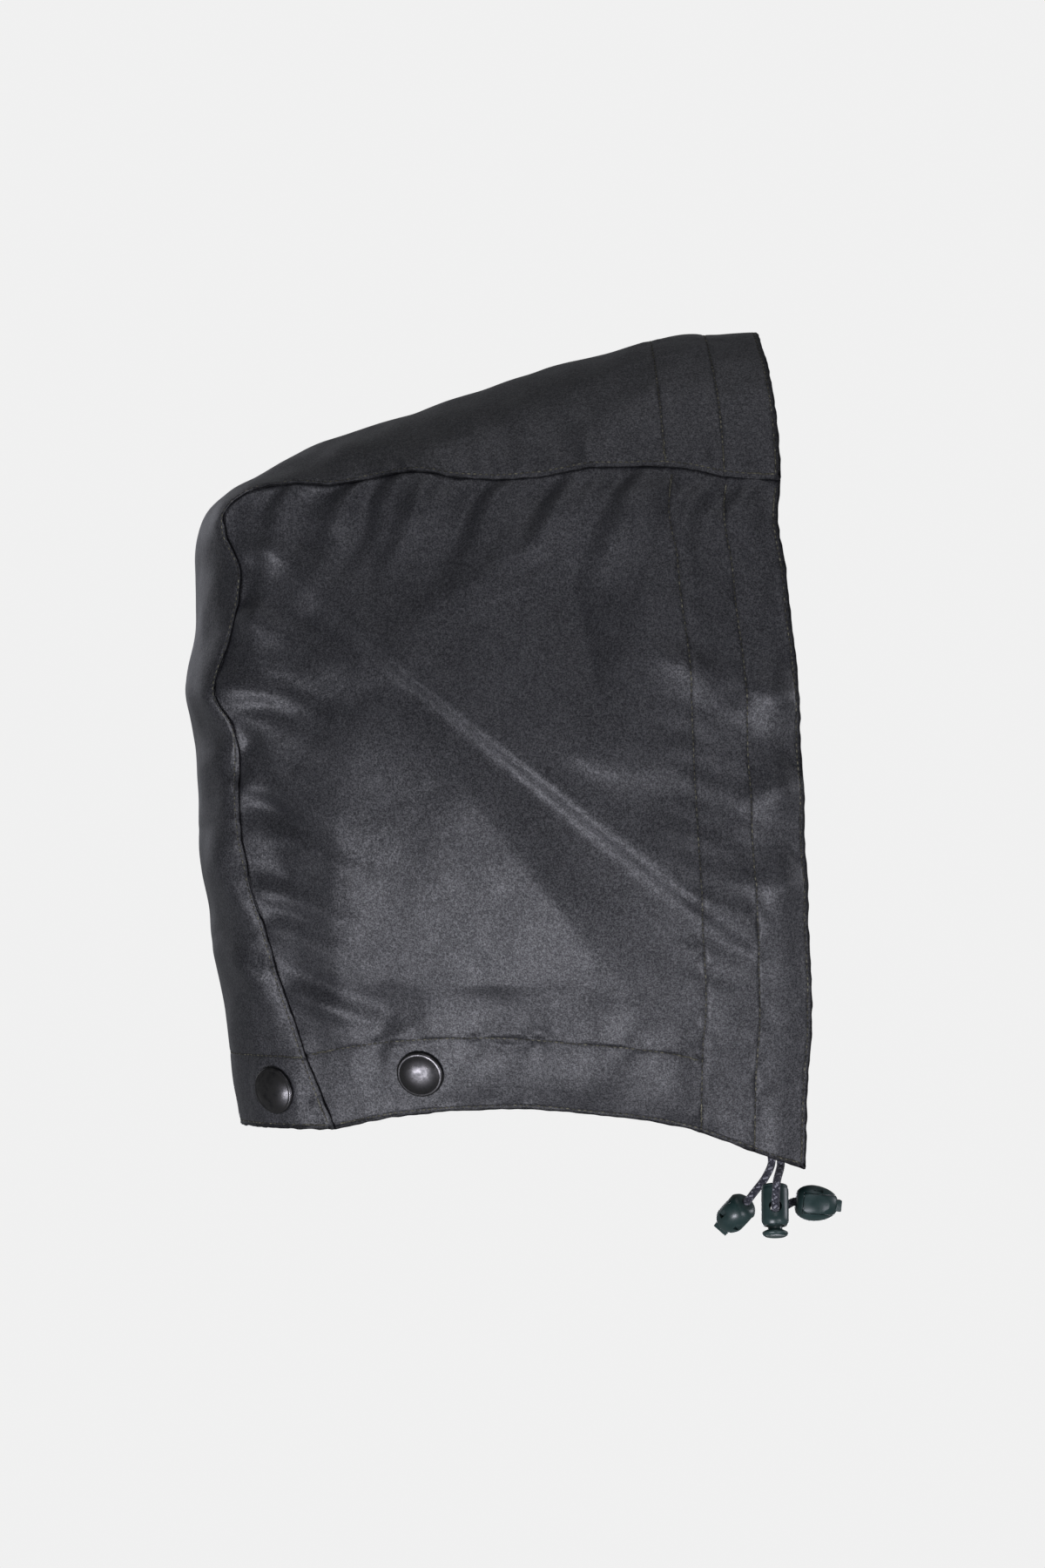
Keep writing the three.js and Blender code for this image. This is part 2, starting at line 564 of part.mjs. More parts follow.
// A solid made about the Y axis (as a lathe makes it), carried to a place with its
// Y axis along a direction and its X axis towards a second direction.
function carried(solid, place, direction, towards) {
  const y = direction.clone().normalize();
  const z = towards.clone().cross(y).normalize();
  const x = y.clone().cross(z);
  const m = new THREE.Matrix4().makeBasis(x, y, z).setPosition(place);
  return solid.transform(m.elements);
}

// Press studs. Each stands on the neck band, with its cap outside, its post through
// the cloth and its socket inside, open towards the collar.
const studSeat = { side: { forward: 0.215 }, back: { across: -0.68 } };

function studFrames() {
  const backStation = backEdge.parameter(STUD_ABOVE_HEM / backEdge.total);
  const hemFar = edgeOf.hem(studSeat.side.forward).distanceTo(edgeOf.top(studSeat.side.forward));
  const up = STUD_ABOVE_HEM / hemFar;
  const onSide = {
    place: sideAt(studSeat.side.forward, up, 0),
    normal: sideNormal(studSeat.side.forward, up),
    wall: CLOTH + FACING,
  };
  const onBack = {
    place: centreAt(backStation, studSeat.back.across, 0),
    normal: centreNormal(backStation, studSeat.back.across),
    wall: CLOTH + FACING,
  };
  const mirror = ({ place, normal, wall }) => ({
    place: new THREE.Vector3(place.x, -place.y, place.z),
    normal: new THREE.Vector3(normal.x, -normal.y, normal.z),
    wall,
  });
  return [onSide, onBack, mirror(onBack), mirror(onSide)];
}

const rivetTop = CLOTH + FACING + GAP + SOCKET_BASE + GAP + RIVET_HEIGHT;

function studCap() {
  const r = CAP_DIAMETER / 2;
  const post = POST_DIAMETER / 2;
  const rivet = RIVET_DIAMETER / 2;
  return turnedSolid([
    [0, -rivetTop],
    [rivet, -rivetTop],
    [rivet, -rivetTop + RIVET_HEIGHT],
    [post, -rivetTop + RIVET_HEIGHT],
    [post, GAP],
    [r - 0.6, GAP],
    [r, GAP + CAP_RIM / 2],
    [r - 0.4, GAP + CAP_RIM],
    [r * 0.8, GAP + CAP_HEIGHT * 0.72],
    [r * 0.45, GAP + CAP_HEIGHT * 0.94],
    [0, GAP + CAP_HEIGHT],
  ]);
}

const socketFrom = CLOTH + FACING + GAP;

function studSocket() {
  const r = SOCKET_DIAMETER / 2;
  const bore = SOCKET_BORE / 2;
  const hole = POST_DIAMETER / 2 + GAP;
  return turnedSolid([
    [hole, -socketFrom],
    [hole, -socketFrom - SOCKET_BASE],
    [bore, -socketFrom - SOCKET_BASE],
    [bore, -socketFrom - SOCKET_HEIGHT],
    [r - 1.2, -socketFrom - SOCKET_HEIGHT],
    [r, -socketFrom - SOCKET_BASE - 0.4],
    [r, -socketFrom],
    [hole, -socketFrom],
  ]);
}

// What a stud takes out of the cloth: its post's hole and flat seats for the two
// discs, deeper than the cloth's own curve.
function studRoom() {
  const reach = 6;
  const hole = cylinder(POST_DIAMETER / 2 + GAP, -reach, reach);
  const capSeat = cylinder(CAP_DIAMETER / 2 + GAP, 0, reach);
  const socketSeat = cylinder(SOCKET_DIAMETER / 2 + GAP, -socketFrom - reach, -socketFrom + GAP);
  return hole.add(capSeat).add(socketSeat);
}

// The open end of the drawcord's tunnel at the right lower corner.
function mouthFrame() {
  const width = edgeOf.back(0).distanceTo(edgeOf.front(0));
  const forward = 1 - MOUTH_BEHIND / width;
  const depth = CLOTH + GAP + CORD_DIAMETER / 2;
  const low = sideAt(forward, 0, depth);
  const high = sideAt(forward, (1.5 * TUNNEL_MOUTH) / HOOD_HEIGHT, depth);
  return { place: low, down: low.clone().sub(high).normalize() };
}

const mouth = mouthFrame();
const lean = THREE.MathUtils.degToRad(LOCK_LEAN);
const barrelDown = new THREE.Vector3(0, -Math.sin(lean), -Math.cos(lean));
const holeThrough = new THREE.Vector3(0, Math.cos(lean), -Math.sin(lean));
const forwardDirection = new THREE.Vector3(1, 0, 0);

// Where the cord crosses the barrel, measured from the tunnel's mouth.
const crossing = mouth.place.clone().add(new THREE.Vector3(-2.3, 2, -21.6));
const cordDrop = BARREL_HOLE / 2 - CORD_DIAMETER / 2 - GAP;
const barrelTop = crossing.clone().addScaledVector(barrelDown, -(BARREL_HOLE_DOWN + cordDrop));
const tucked = mouth.place.clone().addScaledVector(mouth.down, -CORD_TUCK);

// The right end of the drawcord: down from the tunnel, round and through the barrel
// from outside, round again to the front and into its bell.
const rightBellMouth = crossing
  .clone()
  .addScaledVector(holeThrough, BARREL_DIAMETER / 2 + CORD_BEND + 1)
  .add(new THREE.Vector3(CORD_BEND + 2.1, 0, 6.4));
const rightBellAxis = new THREE.Vector3(1, 0.05, -0.1).normalize();

function rightCordLine() {
  const outside = BARREL_DIAMETER / 2 + 0.6;
  const at = (through, down, x) =>
    crossing
      .clone()
      .addScaledVector(holeThrough, through)
      .addScaledVector(barrelDown, down)
      .add(new THREE.Vector3(x, 0, 0));
  const b = CORD_BEND;
  const c = b * (1 - Math.SQRT1_2);
  const round = (turn, down) => {
    const angle = THREE.MathUtils.degToRad(turn);
    return at(outside + b * Math.sin(angle), down, b * (1 - Math.cos(angle)));
  };
  return [
    tucked,
    mouth.place.clone(),
    mouth.place.clone().addScaledVector(mouth.down, 3),
    at(-outside - b + 0.2, -b - 2.5, 0.4),
    at(-outside - b, -b, 0.2),
    at(-outside - c, -c, 0),
    at(-outside, 0, 0),
    at(0, 0, 0),
    at(outside, 0, 0),
    round(22, -0.5),
    round(45, -1.9),
    round(68, -3.9),
    round(90, -5.7),
    rightBellMouth.clone(),
    rightBellMouth.clone().addScaledVector(rightBellAxis, BELL_CORD_DEPTH),
  ];
}

// The left end hangs back from its own corner.
const leftMouth = new THREE.Vector3(mouth.place.x, -mouth.place.y, mouth.place.z);
const leftDown = new THREE.Vector3(mouth.down.x, -mouth.down.y, mouth.down.z);
const leftBellMouth = leftMouth.clone().add(new THREE.Vector3(-10.4, 0, -25.9));
const leftBellAxis = new THREE.Vector3(-0.56, 0.56, -0.63).normalize();
const leftBellSide = new THREE.Vector3(-0.7, 0, 0.62);

function leftCordLine() {
  return [
    leftMouth.clone().addScaledVector(leftDown, -CORD_TUCK),
    leftMouth.clone(),
    leftMouth.clone().addScaledVector(leftDown, 3),
    leftMouth.clone().add(new THREE.Vector3(0.7, -0.5, -8.5)),
    leftMouth.clone().add(new THREE.Vector3(-2.1, -1, -15)),
    leftMouth.clone().add(new THREE.Vector3(-6.6, -1, -21)),
    leftBellMouth.clone(),
    leftBellMouth.clone().addScaledVector(leftBellAxis, BELL_CORD_DEPTH),
  ];
}

function cordSolid(points, steps) {
  const section = new THREE.Shape();
  const sides = 8;
  for (let k = 0; k < sides; k++) {
    const angle = (2 * Math.PI * k) / sides;
    const [x, y] = [Math.cos(angle), Math.sin(angle)].map((v) => (v * CORD_DIAMETER) / 2);
    if (k === 0) section.moveTo(x, y);
    else section.lineTo(x, y);
  }
  section.closePath();
  const path = new THREE.CatmullRomCurve3(points);
  const tube = new THREE.ExtrudeGeometry(section, { steps, extrudePath: path, bevelEnabled: false });
  return solidOf(tube);
}

// The barrel is made with its top at zero and its length along Y, upside down, so
// that Y runs down the barrel once it is carried to barrelDown.
function lockBarrel() {
  const r = BARREL_DIAMETER / 2;
  const body = turnedSolid([
    [0, 0],
    [r - 1.4, 0],
    [r - 0.3, 0.9],
    [r, 2.2],
    [r, BARREL_LENGTH - 2],
    [r - 0.9, BARREL_LENGTH],
    [0, BARREL_LENGTH],
  ]);
  const bore = cylinder(BARREL_BORE / 2, BARREL_TOP, BARREL_LENGTH + 1);
  const across = carried(
    cylinder(BARREL_HOLE / 2, -BARREL_DIAMETER, BARREL_DIAMETER, 12),
    new THREE.Vector3(0, BARREL_HOLE_DOWN, 0),
    new THREE.Vector3(0, 0, 1),
    forwardDirection,
  );
  return body.subtract(bore).subtract(across);
}

function lockPlunger() {
  const stem = BARREL_BORE / 2 - GAP;
  const button = BUTTON_DIAMETER / 2;
  const buttonFrom = BARREL_LENGTH + BUTTON_TRAVEL + GAP;
  const end = buttonFrom + BUTTON_HEIGHT;
  const body = turnedSolid([
    [0, BARREL_LENGTH - PLUNGER_REACH],
    [stem, BARREL_LENGTH - PLUNGER_REACH],
    [stem, buttonFrom - 0.1],
    [button - 0.5, buttonFrom + 0.5],
    [button, buttonFrom + 1.2],
    [button - 0.5, end - 0.3],
    [button - 1.2, end],
    [0, end],
  ]);
  const cordDown = BARREL_HOLE_DOWN + cordDrop;
  const slotHalf = CORD_DIAMETER / 2 + GAP;
  const slot = box(
    [-slotHalf, cordDown - slotHalf, -BARREL_DIAMETER],
    [slotHalf, cordDown + slotHalf + BUTTON_TRAVEL, BARREL_DIAMETER],
  );
  return body.subtract(slot);
}

// A bell has a shell, an egg with a slot through its sides, and an insert that fills
// the slot, clamps the cord's knot and ends in a latch. Its mouth is at zero, its
// length along Y and its slot across Z.
const BELL_OUTLINE = [
  [0, 0],
  [0.42, 0],
  [0.72, 0.08],
  [0.95, 0.27],
  [1, 0.45],
  [0.95, 0.64],
  [0.78, 0.82],
  [0.55, 0.93],
  [0.3, 1],
  [0, 1],
];
const bellRadius = BELL_DIAMETER / 2;
const bellEgg = () => turnedSolid(BELL_OUTLINE.map(([r, y]) => [r * bellRadius, y * BELL_LENGTH]));
const cordBore = () => cylinder(CORD_DIAMETER / 2 + GAP, -BELL_LIP, BELL_CORD_DEPTH + GAP);
const slab = (low, high, half) => box([-BELL_DIAMETER, low, -half], [BELL_DIAMETER, high, half]);

function bellShell() {
  const slot = slab(BELL_LIP, BELL_LENGTH + BELL_TAB, BELL_SLOT / 2);
  const low = (BELL_LENGTH - BELL_WINDOW_LENGTH) / 2;
  let shell = bellEgg().subtract(slot).subtract(cordBore());
  for (const middle of [-BELL_WINDOWS_APART / 2, BELL_WINDOWS_APART / 2]) {
    const to = [middle + BELL_WINDOW / 2, low + BELL_WINDOW_LENGTH, BELL_DIAMETER];
    shell = shell.subtract(box([middle - BELL_WINDOW / 2, low, 0], to));
  }
  return shell;
}

function bellInsert() {
  const [wide, thick] = [bellRadius * 0.45, BELL_SLOT / 2 - GAP];
  const flat = BELL_FLAT / 2;
  const body = bellEgg().intersect(box([-flat, BELL_LIP + GAP, -thick], [flat, BELL_LENGTH, thick]));
  const tip = thick * 0.65;
  const latch = box([-wide, BELL_LENGTH - 3 * BELL_TAB, -tip], [wide, BELL_LENGTH + BELL_TAB, tip]);
  return body.add(latch).subtract(cordBore());
}

// The whole hood, moved so that the inner face of its crown is at the origin.
const hood = new THREE.Group();
hood.name = 'detachable_hood';
const frames = studFrames();
const roomAt = ({ place, normal }) => carried(studRoom(), place, normal, forwardDirection);
const tunnelRoom = (side) => {
  const place = side < 0 ? mouth.place : leftMouth;
  const down = side < 0 ? mouth.down : leftDown;
  const room = cylinder(CORD_DIAMETER / 2 + GAP, -TUNNEL_MOUTH, TUNNEL_MOUTH, 12);
  return carried(room, place, down, forwardDirection);
};

const middlePanel = centrePanel().subtract(roomAt(frames[1])).subtract(roomAt(frames[2]));
hood.add(meshOf(middlePanel, 'centre_panel', finish.cloth));
const rightPanel = sidePanel(-1).subtract(roomAt(frames[0])).subtract(tunnelRoom(-1));
const leftPanel = sidePanel(1).subtract(roomAt(frames[3])).subtract(tunnelRoom(1));
hood.add(meshOf(rightPanel, 'side_panel_right', finish.cloth));
hood.add(meshOf(leftPanel, 'side_panel_left', finish.cloth));

const studNames = ['right_side', 'right_back', 'left_back', 'left_side'];
frames.forEach(({ place, normal }, k) => {
  const seated = (solid) => carried(solid, place, normal, forwardDirection);
  hood.add(meshOf(seated(studCap()), `stud_cap_${studNames[k]}`, finish.stud));
  hood.add(meshOf(seated(studSocket()), `stud_socket_${studNames[k]}`, finish.socket));
});

hood.add(meshOf(cordSolid(rightCordLine(), 17), 'drawcord_right', finish.cord));
hood.add(meshOf(cordSolid(leftCordLine(), 10), 'drawcord_left', finish.cord));
const onLock = (solid) => carried(solid, barrelTop, barrelDown, forwardDirection);
hood.add(meshOf(onLock(lockBarrel()), 'lock_barrel', finish.lock));
hood.add(meshOf(onLock(lockPlunger()), 'lock_plunger', finish.lock));
for (const [made, word] of [[bellShell, 'shell'], [bellInsert, 'insert']]) {
  const right = carried(made(), rightBellMouth, rightBellAxis, new THREE.Vector3(0, -1, 0));
  const left = carried(made(), leftBellMouth, leftBellAxis, leftBellSide);
  hood.add(meshOf(right, `bell_right_${word}`, finish.lock));
  hood.add(meshOf(left, `bell_left_${word}`, finish.lock));
}

const SEAT_STATION = 4;
const seat = centreAt(SEAT_STATION, 0, centreThickness(SEAT_STATION));
hood.position.copy(seat).negate();

export default hood;
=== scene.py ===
"""A detachable storm hood in waxed cotton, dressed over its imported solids.

Three sewn panels make the hollow hood. Four press studs along the neck hold it to a
collar, and the two ends of the drawcord hang out of the tunnel round the face, with
a barrel lock on the right end and a bell on each. The cloth is laid out in
millimetres and is carried into the scene at the end. X points out of the face
opening and is zero at the back of the crown, Y points to the wearer's left and is
zero in the middle, and Z points up and is zero at the lower front corner.
"""

from __future__ import annotations

import logging
import math
from collections.abc import Callable, Sequence
from dataclasses import dataclass, field
from enum import Enum

import bpy
import numpy as np
from mathutils import Matrix, Vector

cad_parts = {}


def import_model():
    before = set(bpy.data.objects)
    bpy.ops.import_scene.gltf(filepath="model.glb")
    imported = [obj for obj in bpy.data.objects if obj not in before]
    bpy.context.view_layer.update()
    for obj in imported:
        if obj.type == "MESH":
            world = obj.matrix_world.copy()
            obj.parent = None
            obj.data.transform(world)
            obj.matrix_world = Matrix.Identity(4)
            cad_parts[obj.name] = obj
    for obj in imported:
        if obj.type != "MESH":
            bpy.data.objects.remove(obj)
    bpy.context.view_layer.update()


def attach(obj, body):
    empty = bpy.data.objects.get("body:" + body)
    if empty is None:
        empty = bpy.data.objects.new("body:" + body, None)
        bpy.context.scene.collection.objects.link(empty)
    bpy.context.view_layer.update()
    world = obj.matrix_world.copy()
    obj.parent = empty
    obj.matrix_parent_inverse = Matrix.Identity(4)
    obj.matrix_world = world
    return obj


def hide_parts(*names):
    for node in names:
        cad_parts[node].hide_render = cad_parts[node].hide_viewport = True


Array = np.ndarray
Piece = bpy.types.Object
Socket = bpy.types.NodeSocket
Colour = tuple[float, float, float, float]
Row = tuple[Array, Array]  # a stitch row's points and their outward normals
LOG = logging.getLogger("hood")
MM = 0.001

# Turns a place or a direction on the right side into the same one on the left.
MIRROR = np.array([1.0, -1.0, 1.0])

# The way to the face opening, which the hard pieces are turned by.
AHEAD = np.array([1.0, 0.0, 0.0])

# How far from an edge of the cloth its own row of stitches runs, in millimetres.
EDGE_ROW = 1.5

# The place in the cloth's own layout that becomes the scene's zero, inside the crown.
SEAT = np.array([141.557, 0.0, 331.846])

# The line down the middle of the centre panel and its right seam, from the front edge
# over the crown to the neck: middle x and z, seam x, z and y, and the degrees that the
# panel turns through from its middle to its seam.
STATIONS = (
    (0.921, 0.998, 0.951, 0.814, 0.735, 56),
    (0.846, 0.996, 0.873, 0.817, 0.74, 56),
    (0.782, 0.994, 0.804, 0.826, 0.74, 57),
    (0.665, 0.971, 0.68, 0.828, 0.735, 58),
    (0.541, 0.946, 0.569, 0.817, 0.72, 60),
    (0.414, 0.913, 0.444, 0.817, 0.695, 63),
    (0.286, 0.882, 0.347, 0.823, 0.66, 67),
    (0.191, 0.857, 0.243, 0.808, 0.62, 70),
    (0.116, 0.826, 0.166, 0.809, 0.58, 74),
    (0.062, 0.801, 0.11, 0.802, 0.55, 76),
    (0.031, 0.779, 0.073, 0.78, 0.53, 78),
    (0.015, 0.749, 0.066, 0.753, 0.53, 79),
    (0.01, 0.702, 0.095, 0.705, 0.55, 80),
    (0.01, 0.634, 0.08, 0.637, 0.58, 80),
    (0, 0.571, 0.059, 0.568, 0.6, 80),
    (0.006, 0.518, 0.088, 0.521, 0.6, 80),
    (0.011, 0.471, 0.081, 0.469, 0.595, 80),
    (0.024, 0.392, 0.089, 0.398, 0.58, 80),
    (0.032, 0.316, 0.12, 0.314, 0.555, 79),
    (0.048, 0.233, 0.15, 0.235, 0.525, 78),
    (0.063, 0.147, 0.187, 0.145, 0.495, 77),
    (0.083, 0.045, 0.24, 0.044, 0.465, 76),
)

# The station where a side panel's top edge meets its back edge, and the shape of the
# peak in front: over how many stations it leans and how steeply.
CROWN_STATION = 10.0
PEAK_STATIONS = 3.0
PEAK_CURVE = 2.2

# Front edge of a side panel from its lower corner up, and the hem from the back seam
# forward: x, z and y.
FRONT_EDGE = (
    (0.992, 0, 0.655),
    (0.995, 0.107, 0.745),
    (1, 0.163, 0.795),
    (0.991, 0.308, 0.89),
    (0.983, 0.438, 0.93),
    (0.974, 0.594, 0.93),
    (0.964, 0.655, 0.9),
    (0.958, 0.707, 0.86),
    (0.946, 0.762, 0.81),
)
HEM = (
    (0.304, 0.055, 0.52),
    (0.393, 0.065, 0.58),
    (0.541, 0.071, 0.66),
    (0.68, 0.064, 0.705),
    (0.789, 0.052, 0.715),
    (0.881, 0.029, 0.705),
    (0.941, 0.013, 0.685),
)

# Folds of a side: start, bend and end of the crest as x and z, then the rise as a share
# of the fold height, and the spread to the left and to the right of the crest as shares
# of the fold width.
FOLDS = (
    # The long crease from the crown down to the front, and the swell under it
    ((0.093, 0.762), (0.551, 0.467), (1.003, 0.211), 0.55, 0.8, 0.15),
    ((0.23, 0.664), (0.514, 0.407), (0.727, 0.16), 0.78, 0.65, 1.4),
    ((0.255, 0.475), (0.25, 0.338), (0.257, 0.141), 0.3, 0.7, 0.5),
    # Gathers that run down from the top seam
    ((0.649, 0.838), (0.653, 0.769), (0.401, 0.658), 0.5, 0.4, 0.4),
    ((0.769, 0.829), (0.71, 0.769), (0.65, 0.7), 0.4, 0.35, 0.35),
    ((0.401, 0.838), (0.381, 0.769), (0.32, 0.689), 0.35, 0.4, 0.4),
    ((0.25, 0.819), (0.219, 0.779), (0.16, 0.74), 0.25, 0.4, 0.4),
    # The rounded form in front of the crease
    ((0.542, 0.559), (0.67, 0.486), (0.812, 0.507), 0.6, 1.2, 0.5),
    ((0.769, 0.78), (0.758, 0.651), (0.749, 0.519), 0.25, 0.5, 0.5),
    ((0.599, 0.727), (0.62, 0.643), (0.639, 0.559), -0.4, 0.6, 0.6),
    # The crease across the back seam and the pocket under it
    ((-0.001, 0.575), (0.08, 0.54), (0.17, 0.47), 0.5, 0.5, 0.3),
    ((0.09, 0.51), (0.13, 0.47), (0.14, 0.39), -0.6, 0.45, 0.45),
    ((0.11, 0.74), (0.126, 0.68), (0.12, 0.58), 0.3, 0.35, 0.35),
    ((0.029, 0.4), (0.06, 0.34), (0.13, 0.29), 0.5, 0.35, 0.3),
    ((0.049, 0.27), (0.09, 0.25), (0.15, 0.2), 0.4, 0.35, 0.3),
    # Puckers between the two rows of stitches in front
    ((0.748, 0.617), (0.805, 0.591), (0.861, 0.554), 0.35, 0.35, 0.3),
    ((0.891, 0.575), (0.932, 0.546), (0.979, 0.554), 0.55, 0.4, 0.35),
    ((0.891, 0.449), (0.939, 0.441), (0.982, 0.459), 0.5, 0.4, 0.35),
    ((0.891, 0.344), (0.946, 0.333), (0.987, 0.354), 0.5, 0.4, 0.4),
    # Slack above and below the row of stitches at the neck
    ((0.31, 0.22), (0.33, 0.189), (0.359, 0.161), -0.35, 0.4, 0.4),
    ((0.5, 0.22), (0.5, 0.191), (0.49, 0.16), -0.25, 0.5, 0.5),
    ((0.68, 0.21), (0.67, 0.18), (0.67, 0.15), -0.25, 0.4, 0.4),
    ((0.47, 0.14), (0.48, 0.11), (0.48, 0.08), 0.25, 0.4, 0.4),
    ((0.63, 0.14), (0.64, 0.11), (0.64, 0.069), 0.25, 0.4, 0.4),
    ((0.781, 0.13), (0.781, 0.1), (0.79, 0.06), 0.25, 0.4, 0.4),
)


# The part of a half wave that a crest's height follows from its start to its end.
TAPER_START = 0.08
TAPER_RUN = 0.84


class Side(Enum):
    """The two sides of the hood, as its wearer has them."""

    RIGHT = -1
    LEFT = 1


class SmoothCurve:
    """A curve through points that bends evenly, however they are spaced."""

    def __init__(self, points: Sequence) -> None:
        """Prepare the curve and measure it.

        Args:
            points: one row of coordinates for each point.
        """
        given = np.asarray(points, float)
        self.points = np.vstack([2 * given[0] - given[1], given, 2 * given[-1] - given[-2]])
        self.count = len(given)
        self.shares = np.linspace(0, 1, 201)
        steps = np.linalg.norm(np.diff(self.at(self.shares), axis=0), axis=1)
        self.run = np.concatenate([[0], np.cumsum(steps)])
        self.length = float(self.run[-1])

    def at(self, share: Array) -> Array:
        """Points of the curve.

        Args:
            share: where along the given points, from 0 to 1.

        Returns:
            One point for each share.
        """
        place = np.clip(np.asarray(share, float), 0, 1) * (self.count - 1)
        k = np.minimum(place.astype(int), self.count - 2)
        w = (place - k)[..., None]
        p0, p1, p2, p3 = (self.points[k + n] for n in range(4))
        d0, d1, d2 = (
            np.maximum(np.linalg.norm(b - a, axis=-1, keepdims=True) ** 0.5, 1e-4)
            for a, b in ((p0, p1), (p1, p2), (p2, p3))
        )
        m1 = d1 * ((p1 - p0) / d0 - (p2 - p0) / (d0 + d1) + (p2 - p1) / d1)
        m2 = d1 * ((p2 - p1) / d1 - (p3 - p1) / (d1 + d2) + (p3 - p2) / d2)
        c2 = 3 * (p2 - p1) - 2 * m1 - m2
        c3 = 2 * (p1 - p2) + m1 + m2
        return p1 + w * (m1 + w * (c2 + w * c3))

    def at_length(self, share: Array) -> Array:
        """Points of the curve by share of its length."""
        return self.at(np.interp(np.clip(share, 0, 1) * self.length, self.run, self.shares))


class LengthScale:
    """Turns a share of a line's length into the line's own parameter."""

    def __init__(self, line: Callable[[Array], Array], start: float, end: float) -> None:
        """Measure the line.

        Args:
            line: gives the points at some parameters.
            start: parameter at share 0.
            end: parameter at share 1.
        """
        self.values = np.linspace(start, end, 401)
        steps = np.linalg.norm(np.diff(line(self.values), axis=0), axis=1)
        self.run = np.concatenate([[0], np.cumsum(steps)])
        self.total = float(self.run[-1])

    def parameter(self, share: Array) -> Array:
        """The line's parameter at a share of its length."""
        return np.interp(np.asarray(share) * self.total, self.run, self.values)

    def share(self, parameter: Array) -> Array:
        """The share of the line's length at a parameter."""
        order = np.argsort(self.values)
        return np.interp(parameter, self.values[order], self.run[order]) / self.total


class Ripple:
    """Smooth unevenness made of a few waves, the same at every run."""

    def __init__(self, seed: int, short: float, long: float, count: int) -> None:
        """Choose the waves.

        Args:
            seed: number that the choice comes from.
            short: shortest wavelength.
            long: longest wavelength.
            count: number of waves.
        """
        chance = np.random.default_rng(seed)
        way = chance.normal(size=(count, 3))
        way /= np.linalg.norm(way, axis=1, keepdims=True)
        length = np.exp(chance.uniform(math.log(short), math.log(long), count))
        self.wave = 2 * math.pi * way / length[:, None]
        self.phase = chance.uniform(0, 2 * math.pi, count)

    def at(self, points: Array) -> Array:
        """The unevenness, about -1 to 1, at places with one in each row."""
        return np.sin(points @ self.wave.T + self.phase).sum(-1) / math.sqrt(2 * len(self.phase))

    def along(self, run: Array) -> Array:
        """The unevenness along a line, from the distance run."""
        run = np.asarray(run, float)
        return self.at(np.stack([run, 0 * run, 0 * run], -1))


def smooth_step(value: Array, low: float, high: float) -> Array:
    """An even rise from 0 at low to 1 at high."""
    share = np.clip((np.asarray(value) - low) / (high - low), 0, 1)
    return share * share * (3 - 2 * share)


def unit(vectors: Array) -> Array:
    """The vectors at length one."""
    return vectors / np.maximum(np.linalg.norm(vectors, axis=-1, keepdims=True), 1e-12)


class CrestLines:
    """A set of crests seen from the side, each lifting the cloth round its line."""

    def __init__(self, rows: Sequence, depth: float, height: float, sharpness: float) -> None:
        """Lay out the crests.

        Args:
            rows: start, bend, end, rise, left and right of each crest, with places as
                shares of depth and height, the rise and the spreads in millimetres.
            depth: length that a share of x stands for.
            height: length that a share of z stands for.
            sharpness: 2 for a round crest, near 1 for a sharp one.
        """
        self.rows = []
        self.sharpness = sharpness
        self.blunt = 0.6 if sharpness < 2 else 0.0  # rounds the very top of a sharp crest
        scale = np.array([depth, height])
        t = np.linspace(0, 1, 13)[:, None]
        for start, bend, end, rise, left, right in rows:
            a, b, c = (np.array(place) * scale for place in (start, bend, end))
            line = (1 - t) ** 2 * a + 2 * t * (1 - t) * b + t**2 * c
            self.rows.append((line, rise, left, right))

    def lift(self, x: Array, z: Array) -> Array:
        """How far the crests lift the cloth.

        Args:
            x: places along the hood.
            z: places up the hood.

        Returns:
            The lift in millimetres.
        """
        here = np.stack([x, z], -1)[..., None, :]
        total = np.zeros(np.shape(x))
        for line, rise, left, right in self.rows:
            reach = 3 * max(left, right)
            low, high = line.min(0) - reach, line.max(0) + reach
            near = (x > low[0]) & (x < high[0]) & (z > low[1]) & (z < high[1])
            if not near.any():
                continue
            run = np.diff(line, axis=0)
            gap = here[near] - line[:-1]
            share = np.clip((gap * run).sum(-1) / (run * run).sum(-1), 0, 1)
            far = np.linalg.norm(gap - share[..., None] * run, axis=-1)
            k = far.argmin(-1)
            pick = np.arange(len(k)), k
            turn = run[k, 0] * gap[pick][:, 1] - run[k, 1] * gap[pick][:, 0]
            turn = turn / (np.linalg.norm(run[k], axis=-1) * far[pick] + 1e-9)
            spread = right + (left - right) * smooth_step(turn, -1, 1)
            along = (k + share[pick]) / len(run)
            taper = np.sin(math.pi * (TAPER_START + TAPER_RUN * along))
            away = np.sqrt((far[pick] / spread) ** 2 + (self.blunt / spread) ** 2)
            total[near] += rise * taper * np.exp(-(away**self.sharpness))
        return total


